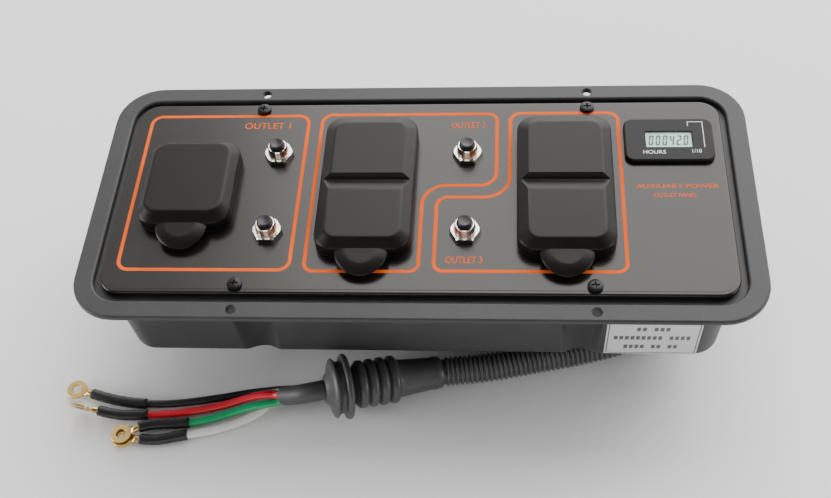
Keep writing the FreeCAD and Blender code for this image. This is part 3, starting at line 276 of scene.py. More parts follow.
def prism(points, low, high):
    return mesh_of([[(p[0], p[1], z) for p in points] for z in (low, high)])


def circle(x, y, radius, count=40):
    return [(x + radius * math.cos(a), y + radius * math.sin(a)) for a in angles(count)]


def box_of(node):
    low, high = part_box(node)
    return low / MM, high / MM


def turned(profile, at, axis=(0, 0, 1), segments=48):
    """Solid of revolution from (radius, distance) pairs along an axis."""
    axis = Vector(axis).normalized()
    side = axis.orthogonal().normalized()
    other = axis.cross(side)
    loops = []
    for radius, along in profile:
        centre = Vector(at) + axis * along
        radius = max(radius, 0.02)
        loops.append([centre + (side * math.cos(a) + other * math.sin(a)) * radius
                      for a in angles(segments)])
    return mesh_of(loops)


def combined(base, tools, operation):
    """Exact boolean of meshes, as a new mesh."""
    scene = bpy.context.scene.collection
    holder = bpy.data.objects.new("work", base)
    scene.objects.link(holder)
    others = []
    for tool in tools:
        item = bpy.data.objects.new("tool", tool)
        scene.objects.link(item)
        others.append(item)
        step = holder.modifiers.new("join", "BOOLEAN")
        step.operation, step.solver, step.object = operation, "EXACT", item
    bpy.context.view_layer.update()
    graph = bpy.context.evaluated_depsgraph_get()
    result = bpy.data.meshes.new_from_object(holder.evaluated_get(graph))
    for item in [holder] + others:
        bpy.data.objects.remove(item)
    return result


def joined(meshes):
    bm = bmesh.new()
    for mesh in meshes:
        bm.from_mesh(mesh)
    result = bpy.data.meshes.new("part")
    bm.to_mesh(result)
    bm.free()
    return result


# ---------------------------------------------------------------- cords, with part.py's route points
def route(*points):
    return [Vector(p) for p in points]


CONDUIT_ROUTE = route(
    (143, 0, 13.2), (141.2, -15.3, 12.8), (134, -28.9, 11), (122.9, -39.4, 9), (109.2, -45.6, 8.2),
    (93.6, -50.2, 8.1), (78, -54.1, 8.1), (62.4, -57.4, 8.1), (46.9, -61.1, 8.1), (31.3, -63.8, 8.1),
    (20, -65.2, 8.4), (10.5, -66.6, 9))
BOOT_START, BOOT_END = Vector((10.5, -66.6, 9)), Vector((-52, -85.4, 21.3))
JACKET_ROUTE = route(
    (-52, -85.4, 21.3), (-57.8, -87.2, 22), (-64.4, -87.4, 19.6), (-70.4, -86, 15.2), (-76, -83.8, 11))
# colour: (place around the jacket in degrees, points before the sleeve, ring's roll, route)
WIRES = {
    "black": (20, 6, 0, route(
        (-86, -79.2, 7.2), (-97, -78.8, 4.1), (-109, -81, 3.3), (-123, -83.6, 3.3), (-136, -85.6, 3.3),
        (-148.5, -86.6, 3.3), (-163, -86.2, 3.3), (-174, -84.6, 3.3), (-183, -82.4, 3.3),
        (-190, -80.4, 3.3))),
    "red": (110, 6, 78, route(
        (-86.5, -83.4, 11.4), (-97, -84.2, 8.2), (-108, -86.6, 5), (-121, -89.2, 3.4), (-135, -91.8, 3.3),
        (-148, -93.1, 3.3), (-160, -93.7, 3.4), (-171.5, -94.6, 4.6), (-183, -92.6, 6.4))),
    "green": (200, 5, 0, route(
        (-86, -88, 8.2), (-96, -89.2, 7), (-107, -92.2, 4.4), (-117, -95.2, 3.4), (-125, -97.2, 3.3),
        (-134, -98.5, 3.3), (-144, -98.9, 3.4), (-152, -99.7, 4.2), (-158, -102.2, 5))),
    "white": (290, 5, 0, route(
        (-84, -82.2, 3.8), (-90.8, -91.4, 3.3), (-102.5, -97.8, 3.3), (-114.5, -102, 3.3),
        (-125.2, -104.5, 3.3), (-134, -105.8, 3.3), (-142, -108, 3.3), (-149, -109, 3.3),
        (-156.5, -108.4, 3.3))),
}
WIRE_RING, WIRE_AHEAD = 3.2, 4.0
CONDUIT_DIAMETER, JACKET_DIAMETER, WIRE_DIAMETER, SLEEVE_DIAMETER = 16.2, 11.0, 4.4, 6.2
CONDUIT_PITCH, GROOVE_DEPTH, CREST_DROP = 2.7, 1.1, 0.25
RING_REACH, RING_DROP, RING_THICK, RING_EDGE, RING_RADIUS, RING_HOLE = 10, 0.55, 1.1, 0.15, 5.8, 2.6


def nurbs(name, points, thickness=0.0):
    data = bpy.data.curves.new(name, "CURVE")
    data.dimensions = "3D"
    data.resolution_u = 16
    data.bevel_depth = thickness / 2 * MM
    data.bevel_resolution = 6
    data.use_fill_caps = True
    spline = data.splines.new("NURBS")
    spline.points.add(len(points) - 1)
    for knot, point in zip(spline.points, points):
        knot.co = (*(Vector(point) * MM), 1)
    spline.order_u = 3
    spline.use_endpoint_u = True
    return data


def line_of(points):
    """Points along the route's own NURBS line, in millimetres."""
    holder = bpy.data.objects.new("line", nurbs("line", points))
    bpy.context.scene.collection.objects.link(holder)
    graph = bpy.context.evaluated_depsgraph_get()
    mesh = bpy.data.meshes.new_from_object(holder.evaluated_get(graph))
    line = [v.co / MM for v in mesh.vertices]
    bpy.data.objects.remove(holder)
    return line


def length_of(line):
    return sum((b - a).length for a, b in zip(line, line[1:]))


def walked(line, distance):
    """Point and heading at a distance along a line."""
    for a, b in zip(line, line[1:]):
        step = (b - a).length
        if distance <= step or b is line[-1]:
            return a.lerp(b, min(1, distance / max(step, 1e-9))), (b - a).normalized()
        distance -= step


def swept(line, profile, segments=28):
    """Closed tube along a line from (distance, radius) pairs."""
    loops, side = [], None
    for along, radius in profile:
        centre, heading = walked(line, along)
        if side is None:
            side = heading.orthogonal().normalized()
        side = (side - heading * side.dot(heading)).normalized()
        other = heading.cross(side)
        loops.append([centre + (side * math.cos(a) + other * math.sin(a)) * radius
                      for a in angles(segments)])
    return mesh_of(loops)


def make_conduit():
    line = line_of(CONDUIT_ROUTE)
    total, radius, pitch = length_of(line), CONDUIT_DIAMETER / 2, CONDUIT_PITCH
    wave = [(0.10, GROOVE_DEPTH), (0.26, CREST_DROP), (0.38, 0), (0.62, 0), (0.74, CREST_DROP),
            (0.90, GROOVE_DEPTH)]
    profile, along = [(0, radius - GROOVE_DEPTH)], 0.0
    while along + pitch < total:
        profile += [(along + part * pitch, radius - drop) for part, drop in wave]
        along += pitch
    profile.append((total, radius - GROOVE_DEPTH))
    made = finish_mesh("conduit_corrugated", swept(line, profile, 36), "conduit_black",
                       replaces=("conduit",), crease=50)
    return made, line, total


def make_boot():
    """Tapered sleeve, four bellows ribs and a grooved grommet, turned about one line."""
    axis = (BOOT_END - BOOT_START).normalized()
    total = (BOOT_END - BOOT_START).length
    rib, rim, pitch = 13.3, 18.1, 6.0
    profile = [(8.3, 0), (8.9, 0.5), (9.0, 2.2), (9.3, 3.0), (9.3, 4.6), (9.0, 5.4), (10.2, 20.5),
               (10.6, 24.2), (11.0, 25.0)]
    for number in range(4):
        low = 25.5 + number * pitch
        profile += [(rib - 0.9, low + 0.5), (rib - 0.2, low + 1.1), (rib, low + 2.0),
                    (rib, low + 3.4), (rib - 0.2, low + 4.3), (rib - 0.8, low + 4.8),
                    (rib - 1.7, low + 5.1), (rib - 2.0, low + 5.4), (rib - 1.7, low + 5.7)]
    profile += [(9.6, 50.6), (9.6, 51.4), (14.0, 52.2), (rim - 0.8, 52.8), (rim, 53.6), (rim, 55.2),
                (rim - 0.8, 56.0), (15.2, 56.6), (14.5, 57.2), (14.5, 59.2), (15.4, 59.8),
                (rim - 2.0, 60.4), (rim - 1.5, 61.2), (rim - 2.2, 62.2), (rim - 4.0, 63.0),
                (9.4, 64.4), (7.6, total - 0.4), (6.2, total)]
    return finish_mesh("harness_boot_ribbed", turned(profile, BOOT_START, axis, 72), "boot_rubber",
                       replaces=("harness_boot",), crease=60)


def jacket_plane():
    end = JACKET_ROUTE[-1]
    heading = (end - JACKET_ROUTE[-2]).normalized()
    across = (Vector((0, 1, 0)) - heading * heading.y).normalized()
    upward = heading.cross(across)
    if upward.z < 0:
        upward = -upward
    return end, heading, across, upward


def ring_terminal(tip, heading, rolled):
    """Crimp barrel, neck and drilled ring beyond the end of a sleeve."""
    level = Vector((heading.x, heading.y, 0)).normalized() if not rolled else heading.normalized()
    across = Vector((0, 0, 1)).cross(level).normalized()
    up = level.cross(across)
    if rolled:
        turn = Matrix.Rotation(math.radians(rolled), 3, level)
        across, up = turn @ across, turn @ up
    centre = tip + level * RING_REACH - up * RING_DROP
    half, inner = RING_THICK / 2, RING_THICK / 2 - RING_EDGE
    rim = [(-half, RING_RADIUS - RING_EDGE), (-inner, RING_RADIUS), (inner, RING_RADIUS),
           (half, RING_RADIUS - RING_EDGE), (half, RING_HOLE + RING_EDGE), (inner, RING_HOLE),
           (-inner, RING_HOLE), (-half, RING_HOLE + RING_EDGE)]
    plate = [[centre + up * rise + (level * math.cos(a) + across * math.sin(a)) * radius
              for a in angles(48)] for rise, radius in rim]
    neck = []
    for along, wide, tall, drop in ((-1.0, 2.1, 2.1, 0), (2.2, 2.1, 2.0, 0), (3.4, 2.3, 1.2, 0.3),
                                    (4.6, 2.7, 0.5, RING_DROP), (5.6, 3.0, 0.45, RING_DROP)):
        middle = tip + level * along - up * drop
        neck.append([middle + across * (wide * math.cos(a)) + up * (tall * math.sin(a))
                     for a in angles(24)])
    return combined(mesh_of(plate, ring=True), [mesh_of(neck)], "UNION")


def make_wires():
    end, heading, across, upward = jacket_plane()
    made = []
    for color, (angle, split, tilt, points) in WIRES.items():
        turn = math.radians(angle)
        start = end + across * (WIRE_RING * math.cos(turn)) + upward * (WIRE_RING * math.sin(turn))
        whole = [start, start + heading * WIRE_AHEAD] + points
        line = line_of(whole)
        total = length_of(line)
        middle = (points[split - 1] + points[split]) / 2
        reach, best = 0.0, (1e9, 0.0)
        for a, b in zip(line, line[1:]):
            reach += (b - a).length
            best = min(best, ((b - middle).length, reach))
        lip, sleeve = best[1], SLEEVE_DIAMETER / 2
        profile = [(lip, 2.3), (lip + 0.3, sleeve - 0.25), (lip + 1.2, sleeve)]
        profile += [(lip + (total - lip) * k / 14, sleeve - 0.12 * (k % 2)) for k in range(1, 14)]
        profile += [(total - 1.2, sleeve), (total - 0.3, sleeve - 0.3), (total, 1.6)]
        sleeve_piece = finish_mesh(f"sleeve_on_{color}", swept(line, profile), "sleeve_black",
                                   replaces=("shrink_sleeves",), crease=60)
        ring_piece = finish_mesh(f"ring_on_{color}",
                                 ring_terminal(line[-1], line[-1] - line[-3], tilt), "brass_part",
                                 replaces=("ring_terminals",), crease=40)
        made.append((color, whole, total, [sleeve_piece, ring_piece]))
    return made


def curve_piece(name, points, diameter, slot, node):
    made = bpy.data.objects.new(name, nurbs(name, points, diameter))
    bpy.context.scene.collection.objects.link(made)
    made.data.materials.append(MATERIALS[slot])
    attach(made, BODY)
    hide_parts(node)
    return made


def make_harness():
    conduit, line, total = make_conduit()
    boot = make_boot()
    jacket = curve_piece("harness_jacket_round", JACKET_ROUTE, JACKET_DIAMETER, "jacket_grey",
                         "harness_jacket")
    for color, points, reach, fittings in make_wires():
        wire = curve_piece(f"wire_{color}_lead", points, WIRE_DIAMETER, f"wire_{color}",
                           f"wire_{color}")


make_harness()


# ---------------------------------------------------------------- tub
PANEL_SCREWS = [(sx * 92.5, sy * 60.5) for sx in (1, -1) for sy in (1, -1)]
MOUNT_HOLES = [(sx * 93, sy * 74.5) for sx in (1, -1) for sy in (1, -1)]
TUB_FLOOR, SHOULDER, FLANGE_UNDER = 26.5, 79.8, 82.8
WALL = 3
# length, width and corner radius of each rounded rectangle
TUB, SHOULDER_BAND, FLANGE = (328, 135, 16), (345, 143.4, 17), (360, 160, 25)
LEDGE_OPENING, PANEL_RECESS = (314, 116, 9), (338.6, 138.6, 14.5)
FLANGE_EDGE, RECESS_EDGE, SHOULDER_EDGE, FOOT_EDGE = 1.3, 1.5, 0.5, 5
DRAFT = math.tan(math.radians(2.6))
CHANNEL_X, CHANNEL_RADIUS, CHANNEL_TOP = 87.0, 10.9, 64.0
CHANNEL_LEAN = math.tan(math.radians(3.4))
CHANNEL_AXIS_Y, CHANNEL_FOOT, CHANNEL_WALL = 71.8, 24.5, 2.6
CHANNEL_BLEND, CHANNEL_FADE = 0.45, 1.6
LONG_SIDE_X = sorted([c + 0.9 * k for c in (-CHANNEL_X, CHANNEL_X) for k in range(-15, 16)]
                     + [-135, -115, -60, -30, 0, 30, 60, 115, 135])
BOSS_RADIUS, BOSS_LOW, BOSS_TOP = 4.6, 67.8, 81
INSERT_BORE, INSERT_LOW, TIP_BORE, TIP_LOW = 2.8, 74.8, 2.1, 71.8
MOUNT_HOLE, MOUNT_CHAMFER = 2.5, 0.4
GLAND_AT, GLAND_BORE = CONDUIT_ROUTE[0], 7.9


def channel_depth(x, z, wall, extra):
    """Where the long wall stands at x, pushed in by the leaning round channels."""
    dx = abs(abs(x) - CHANNEL_X)
    radius = CHANNEL_RADIUS + extra
    top = CHANNEL_TOP + extra
    if dx >= radius or z >= top:
        return wall
    axis = CHANNEL_AXIS_Y - (z - CHANNEL_FOOT) * CHANNEL_LEAN
    bottom = axis - math.sqrt(radius * radius - dx * dx)
    blended = -CHANNEL_BLEND * math.log(1 + math.exp((wall - bottom) / CHANNEL_BLEND)) + wall
    fade = min(1, (top - z) / CHANNEL_FADE)
    return wall + (blended - wall) * fade * (2 - fade)


def tub_loop(shape, z, offset=0.0, channel=None):
    """Rounded rectangle with extra points along the long sides, channels pressed in if asked."""
    length, width, radius = shape
    arcs = outline(rectangle(0, 0, length, width), [radius] * 4, offset, 8)
    per = len(arcs) // 4
    corners = [arcs[k * per:(k + 1) * per] for k in range(4)]
    wall = width / 2 + offset

    def side(sign, xs):
        points = []
        for x in xs:
            y = wall if channel is None else channel_depth(x, z, wall, channel)
            points.append((x, sign * y, z))
        return points
    loop = [(p.x, p.y, z) for p in corners[0]] + side(-1, LONG_SIDE_X)
    loop += [(p.x, p.y, z) for p in corners[1]] + [(p.x, p.y, z) for p in corners[2]]
    loop += side(1, LONG_SIDE_X[::-1]) + [(p.x, p.y, z) for p in corners[3]]
    return loop


def wall_loop(z, offset=0.0, channel=0.0):
    """The tub's drafted wall at one height."""
    return tub_loop(TUB, z, offset - (SHOULDER - z) * DRAFT, channel)


DEEP = [(-153, -28), (104, -28), (104, 23), (158, 23), (158, 60), (-153, 60)]
DEEP_RADII = [6, 6, 2, 6, 6, 6]
OUTER_RISE = [33, 38, 44, 50, 56, 60, 62, 62.6, 63.2, 63.6, 64.0, 64.4, 68, 74, SHOULDER]
INNER_RISE = [29.5, 34, 40, 46, 52, 58, 62, 64, 65, 65.6, 66.2, 66.6, 67, 72, SHOULDER]


def make_housing():
    """Drafted tub, shoulder and flange, with the deep part, screw bosses and all the holes."""
    edge = SHOULDER_EDGE
    outer = [wall_loop(z, inset) for z, inset in foot_arc(TUB_FLOOR, FOOT_EDGE, steps=7)]
    outer += [wall_loop(z) for z in OUTER_RISE]
    outer += [tub_loop(SHOULDER_BAND, z, d) for z, d in
              ((SHOULDER, -edge - 0.1), (SHOULDER + edge, -0.1), (SHOULDER + 2 * edge, 0),
               (FLANGE_UNDER, 0))]
    outer += [tub_loop(FLANGE, z, d) for z, d in
              [(FLANGE_UNDER, -edge), (FLANGE_UNDER + edge, 0)] + edge_arc(FLANGE_TOP, FLANGE_EDGE)]
    inner = [wall_loop(z, -WALL, CHANNEL_WALL) for z in INNER_RISE]
    inner += [tub_loop(LEDGE_OPENING, z, d) for z, d in
              ((SHOULDER, 0), (FLANGE_UNDER - 0.4, 0), (FLANGE_UNDER, 0.4))]
    lip = [(FLANGE_TOP - RECESS_EDGE * (1 - math.sin(t)), RECESS_EDGE * (1 - math.cos(t)))
           for t in (math.pi / 2 * k / 4 for k in range(5))]
    inner += [tub_loop(PANEL_RECESS, z, d) for z, d in
              [(FLANGE_UNDER, 0)] + lip + [(FLANGE_TOP + 2, RECESS_EDGE)]]
    deep = levels(DEEP, DEEP_RADII, foot_arc(0, 2.5) + [(29.4, 0)])
    cavity = levels(DEEP, DEEP_RADII, [(z, d - WALL) for z, d in foot_arc(WALL, 2)] + [(30.5, -WALL)])
    solid = combined(mesh_of(outer), [deep], "UNION")
    solid = combined(solid, [mesh_of(inner), cavity], "DIFFERENCE")

    def posts(places, profile, segments=32):
        return [turned(profile, (x, y, 0), segments=segments) for x, y in places]
    solid = combined(solid, posts(PANEL_SCREWS, [(BOSS_RADIUS, BOSS_LOW), (BOSS_RADIUS, BOSS_TOP)]),
                     "UNION")
    holes = posts(PANEL_SCREWS, [(INSERT_BORE, INSERT_LOW), (INSERT_BORE, 84)])
    holes += posts(PANEL_SCREWS, [(TIP_BORE, TIP_LOW), (TIP_BORE, 76)], 24)
    chamfered = MOUNT_HOLE + MOUNT_CHAMFER
    holes += posts(MOUNT_HOLES, [(MOUNT_HOLE, 80), (MOUNT_HOLE, FLANGE_TOP - MOUNT_CHAMFER),
                                 (chamfered, FLANGE_TOP + 0.01), (chamfered, FLANGE_TOP + 2)])
    holes.append(turned([(GLAND_BORE, 21), (GLAND_BORE, 28)], GLAND_AT, (0, 1, 0)))
    finish_mesh("housing_shell", combined(solid, holes, "DIFFERENCE"), "moulded_grey",
                replaces=("housing",), crease=38)


make_housing()


# ---------------------------------------------------------------- printed film over the face panel
FILM, INK, LINE_WIDTH = 0.14, 0.07, 2.0
FILM_MARGIN, FILM_CORNER, FILM_BEVEL, FILM_LAP = 2.4, 9, 0.12, 0.6
BREAKER_CUT, SCREW_CUT, METER_CUT = 6.4, 2.4, (40, 27)
PANEL_LENGTH, PANEL_WIDTH = 330.8, 130.8


def cover_outline(index, grow=0.0):
    low, high = box_of(f"cover_base_{index}")
    return outline(corners_of(low.x, low.y, high.x, high.y), [COVER_CORNER] * 4, grow)


BREAKERS = [(-79.5, 26.7), (-79.5, -26.7), (26.0, 26.7), (26.0, -26.7)]
METER_X, METER_Y = 135.9, 35.0
COVER_CORNER = 10


def make_film():
    """Thin satin sheet over the panel, cut out round everything that comes through it."""
    film = levels(rectangle(0, 0, PANEL_LENGTH - 2 * FILM_MARGIN, PANEL_WIDTH - 2 * FILM_MARGIN),
                  [FILM_CORNER] * 4,
                  [(PANEL_TOP, 0), (PANEL_TOP + FILM * 0.6, 0), (PANEL_TOP + FILM, -FILM_BEVEL)])
    cuts = [cover_outline(index, -FILM_LAP) for index in (1, 2, 3)]
    cuts += [circle(x, y, BREAKER_CUT) for x, y in BREAKERS]
    cuts += [circle(x, y, SCREW_CUT) for x, y in PANEL_SCREWS]
    cuts.append(outline(rectangle(METER_X, METER_Y, *METER_CUT), [2] * 4))
    tools = [prism(points, PANEL_TOP - 1, PANEL_TOP + 1) for points in cuts]
    finish_mesh("panel_film", combined(film, tools, "DIFFERENCE"), "satin_panel")


make_film()


def printed_line(corners, radii, width=LINE_WIDTH):
    """Closed raised line along an outline."""
    top = PANEL_TOP + FILM
    rows = []
    for z, d in ((top - 0.02, width / 2), (top + INK, width / 2 - 0.05), (top + INK, -width / 2 + 0.05),
                 (top - 0.02, -width / 2)):
        rows.append([(p.x, p.y, z) for p in outline(corners, radii, d, 10)])
    return mesh_of(rows, ring=True)


def lettering(text, x, y, z, size, wide=1.0):
    """Raised generic lettering, as a mesh in millimetres, centred on a point."""
    data = bpy.data.curves.new("text", "FONT")
    data.body, data.size, data.extrude = text, size * MM, INK * MM
    data.align_x, data.align_y = "CENTER", "CENTER"
    holder = bpy.data.objects.new("text", data)
    bpy.context.scene.collection.objects.link(holder)
    graph = bpy.context.evaluated_depsgraph_get()
    mesh = bpy.data.meshes.new_from_object(holder.evaluated_get(graph))
    bpy.data.objects.remove(holder)
    bm = bmesh.new()
    bm.from_mesh(mesh)
    bmesh.ops.remove_doubles(bm, verts=bm.verts, dist=1e-7)
    bm.to_mesh(mesh)
    bm.free()
    mesh.transform(Matrix.Translation(Vector((x, y, z)) * MM) @ Matrix.Diagonal((wide, 1, 1, 1)))
    return mesh


def make_print():
    """Orange outlet borders and lettering, raised from the film."""
    lines = [
        printed_line([(-157.3, -51), (-65.4, -51), (-65.4, 56.2), (-157.3, 56.2)], [6] * 4),
        printed_line([(-57.6, -51.6), (2.2, -51.6), (2.2, 5), (42, 5), (42, 56.8), (-57.6, 56.8)],
                     [5, 5, 13, 9, 5, 6]),
        printed_line([(10.2, -51.3), (109.3, -51.3), (109.3, 57), (49.4, 57), (49.4, -3.1), (10.2, -3.1)],
                     [5, 5, 6, 6, 14, 6]),
    ]
    # text, place, size, widening
    words = [("OUTLET 1", -88.5, 48.5, 6.2, 1.0), ("OUTLET 2", 26.0, 48.0, 6.0, 0.72),
             ("OUTLET 3", 25.8, -44.5, 6.0, 0.72), ("AUXILIARY POWER", 138.3, 4.2, 3.9, 1.28),
             ("OUTLET PANEL", 136.7, -2.0, 3.6, 0.9)]
    texts = [lettering(text, x, y, PANEL_TOP + FILM, size, wide) for text, x, y, size, wide in words]
    finish_mesh("panel_print", joined(lines + texts), None, look=ORANGE, crease=30)


make_print()


# ---------------------------------------------------------------- flip covers
WALL_TOP, BEVEL, WINDOW_RISE = PANEL_TOP + 8.1, 3.7, 0.9
LID_LOW = PANEL_TOP + 3.3
ROOF = WALL_TOP + BEVEL
TAB_RADIUS, TAB_DROOP, TAB_LIFT, TAB_ROOT = 14.0, 0.012, 0.4, 2.0
COVER_WALL, COVER_ROOF = 2.2, 3.1
# slopes of the crown at the sides, front and back, and its corner radius
SHORT_CROWN, LONG_CROWN = (4.2, 5.0, 5.0, 8), (5.6, 4.4, 7.6, 6.5)
GROOVE_FROM_FRONT, GROOVE_HALF = 46.6, 23.2
HINGE_INSET, HINGE_HEIGHT, HINGE_HALF, HINGE_RADIUS, HINGE_BORE = 2.5, 5.2, 12, 2.2, 1.05
KNUCKLE_X, KNUCKLE_HALF = 15.8, 3.95


def between(lower, upper, stack):
    """Solid whose outline passes from one loop to another, from (height, share, offset) rows."""
    rows = []
    for z, share, offset in stack:
        low, high = (outline(corners, radii, offset, 10) for corners, radii in (lower, upper))
        rows.append([(p.x + (q.x - p.x) * share, p.y + (q.y - p.y) * share, z)
                     for p, q in zip(low, high)])
    return mesh_of(rows)


def groove_tool(x, edge):
    """Cutter for the step across a long cover: a steep rear face and a long slope in front of it."""
    crown = ROOF + WINDOW_RISE
    section = [(1.6, crown + 1), (0.55, crown - 0.02), (0.15, crown - 0.3), (-1.5, ROOF - 1.7),
               (-2.0, ROOF - 1.95), (-3.2, ROOF - 1.8), (-9.2, crown - 0.5), (-10.4, crown - 0.12),
               (-12, crown + 0.02), (-12, crown + 1)]
    return mesh_of([[(x + reach, edge + along, z) for along, z in section]
                    for reach in (-GROOVE_HALF, GROOVE_HALF)])


def thumb_tab(x, front):
    """Half-round tab with a rounded upper edge, drooping towards its tip."""
    top = WALL_TOP + TAB_LIFT
    rows = []
    for z, inset in ((top - 2.4, 0.5), (top - 2.2, 0.1), (top - 2.0, 0.0), (top - 1.6, 0.3),
                     (top - 1.1, 1.1), (top - 0.6, 2.4), (top - 0.25, 3.9), (top - 0.06, 5.2),
                     (top, 6.4)):
        radius = TAB_RADIUS - inset
        arc = [(radius * math.cos(a), radius * math.sin(a))
               for a in (math.pi + math.pi * k / 32 for k in range(33))]
        rows.append([(x + px, front + py, z - TAB_DROOP * py * py)
                     for px, py in arc + [(radius, TAB_ROOT), (-radius, TAB_ROOT)]])
    return mesh_of(rows)


def lid_mesh(index):
    """Hollow cover with a sloping crown, hinge barrel, thumb tab and, on the long ones, the groove."""
    low, high = box_of(f"cover_base_{index}")
    x, front, back = (low.x + high.x) / 2, low.y, high.y
    side, fore, rear, corner = SHORT_CROWN if index == 1 else LONG_CROWN
    lower = (corners_of(low.x, front, high.x, back), [COVER_CORNER] * 4)
    upper = (corners_of(low.x + side, front + fore, high.x - side, back - rear), [corner] * 4)
    crown = ROOF + WINDOW_RISE
    solid = between(lower, upper, [
        (LID_LOW, 0, -0.25), (LID_LOW + 0.3, 0, 0), (WALL_TOP - 0.8, 0, 0), (WALL_TOP - 0.2, 0.02, 0),
        (WALL_TOP + 0.3, 0.08, 0), (WALL_TOP + 0.8, 0.18, 0), (crown - 1.0, 0.82, 0),
        (crown - 0.45, 0.93, 0), (crown - 0.12, 1, -0.2), (crown - 0.02, 1, -0.9), (crown, 1, -2)])
    tools = [] if index == 1 else [groove_tool(x, front + GROOVE_FROM_FRONT)]
    inner = corners_of(low.x + COVER_WALL, front + COVER_WALL, high.x - COVER_WALL, back - COVER_WALL)
    tools.append(levels(inner, [COVER_CORNER - COVER_WALL] * 4,
                        [(LID_LOW - 1, 0), (LID_LOW + 4.1, 0), (ROOF - COVER_ROOF, -3),
                         (ROOF - COVER_ROOF + 0.2, -3.4)]))
    tools.append(prism(corners_of(low.x - 1, back - 4.0, high.x + 1, back + 2), LID_LOW - 0.4,
                       LID_LOW + 1.8))
    for middle in (x + KNUCKLE_X, x - KNUCKLE_X):
        tools.append(prism(corners_of(middle - KNUCKLE_HALF, back - 5.3, middle + KNUCKLE_HALF,
                                      back + 1.2), LID_LOW - 0.5, LID_LOW + 4.9))
    solid = combined(solid, tools, "DIFFERENCE")

    def along_hinge(profile, segments):
        return turned(profile, (x, back - HINGE_INSET, PANEL_TOP + HINGE_HEIGHT), (1, 0, 0), segments)
    barrel = along_hinge([(HINGE_RADIUS - 0.3, -HINGE_HALF), (HINGE_RADIUS, 0.3 - HINGE_HALF),
                          (HINGE_RADIUS, HINGE_HALF - 0.3), (HINGE_RADIUS - 0.3, HINGE_HALF)], 32)
    solid = combined(solid, [barrel, thumb_tab(x, front)], "UNION")
    bore = along_hinge([(HINGE_BORE, -HINGE_HALF - 1), (HINGE_BORE, HINGE_HALF + 1)], 24)
    return combined(solid, [bore], "DIFFERENCE")


for number in (1, 2, 3):
    finish_mesh(f"flip_cover_{number}", lid_mesh(number), "cover_rubber", body=f"lid_{number}",
                replaces=(f"cover_lid_{number}",), crease=28)


# ---------------------------------------------------------------- screws, breakers, meter
HEAD_RADIUS, HEAD_HEIGHT = 4.0, 2.2
NUT_FLATS, NUT_HEIGHT = 14.3, 3.3
BUSHING_RADIUS, THREAD_ROOT, THREAD_PITCH, BUSHING_BORE = 5.6, 5.35, 0.85, 4.18
CASE_LENGTH, CASE_WIDTH, CASE_GAP = 15, 32, 3


def pan_head(x, y, base, radius, height):
    """Domed head with a tapered cross recess."""
    profile = [(radius - 0.25, 0), (radius, 0.25), (radius, height * 0.45), (radius - 0.25, height * 0.72),
               (radius - 0.9, height * 0.9), (radius - 2.0, height * 0.98), (0.02, height)]
    head = turned(profile, (x, y, base), segments=48)
    arms = []
    for wide, long in ((0.45, 2.3), (2.3, 0.45)):
        arms.append(mesh_of([[(x + sx * wide * k, y + sy * long * k, base + z)
                              for sx, sy in ((-1, -1), (1, -1), (1, 1), (-1, 1))]
                             for z, k in ((height - 1.5, 0.55), (height + 0.2, 1.0))]))
    head = combined(head, arms, "DIFFERENCE")
    shank = turned([(1.2, -13), (1.75, -12), (1.75, 0.4)], (x, y, base), segments=24)
    return combined(head, [shank], "UNION")


def make_fasteners():
    heads = [pan_head(x, y, PANEL_TOP + FILM, HEAD_RADIUS, HEAD_HEIGHT) for x, y in PANEL_SCREWS]
    finish_mesh("panel_screws_cross", joined(heads), "black_screw", replaces=("panel_screws",), crease=30)


make_fasteners()


def hex_nut(x, y, low, high, flats, bore):
    """Chamfered hexagon nut with a plain bore and its corners on the X axis."""
    loops, half = [], flats / 2
    corner = half / math.cos(math.pi / 6)
    stack = [(low, -0.5), (low + 0.45, 0), (high - 0.55, 0), (high, -0.75)]

    def hexagon(angle, trim):
        wedge = angle % (math.pi / 3) - math.pi / 6
        return min(half / math.cos(wedge), corner + trim)
    for z, trim in stack:
        loops.append([(x + hexagon(a, trim) * math.cos(a), y + hexagon(a, trim) * math.sin(a), z)
                      for a in angles(48)])
    for z, radius in ((high, bore + 0.5), (high - 0.4, bore), (low + 0.4, bore), (low, bore + 0.3)):
        loops.append([(px, py, z) for px, py in circle(x, y, radius, 48)])
    return mesh_of(loops, ring=True)


def bushing_profile(case_top, low, high):
    """(radius, distance) pairs of the threaded bushing, from inside the case to its rounded tip."""
    rise = [(5.1, case_top - 1 - low), (5.3, case_top - low)]
    z = case_top + 0.4
    while z < high - 1.0:
        rise += [(THREAD_ROOT, z - low), (BUSHING_RADIUS, z + 0.3 - low),
                 (BUSHING_RADIUS, z + 0.42 - low), (THREAD_ROOT, z + 0.72 - low)]
        z += THREAD_PITCH
    return rise + [(THREAD_ROOT, high - 0.8 - low), (5.25, high - 0.5 - low), (4.95, high - low)]


def button_cap(x, y, node):
    """Push button with a rounded rim and a shallow dish."""
    low, high = box_of(node)
    radius, tall = (high.x - low.x) / 2, high.z - low.z
    return turned([(radius - 0.3, 0), (radius, 0.3), (radius, tall - 0.9), (radius - 0.25, tall - 0.35),
                   (radius - 0.8, tall), (radius - 1.5, tall - 0.1), (1.5, tall - 0.45),
                   (0.02, tall - 0.5)], (x, y, low.z), segments=48)


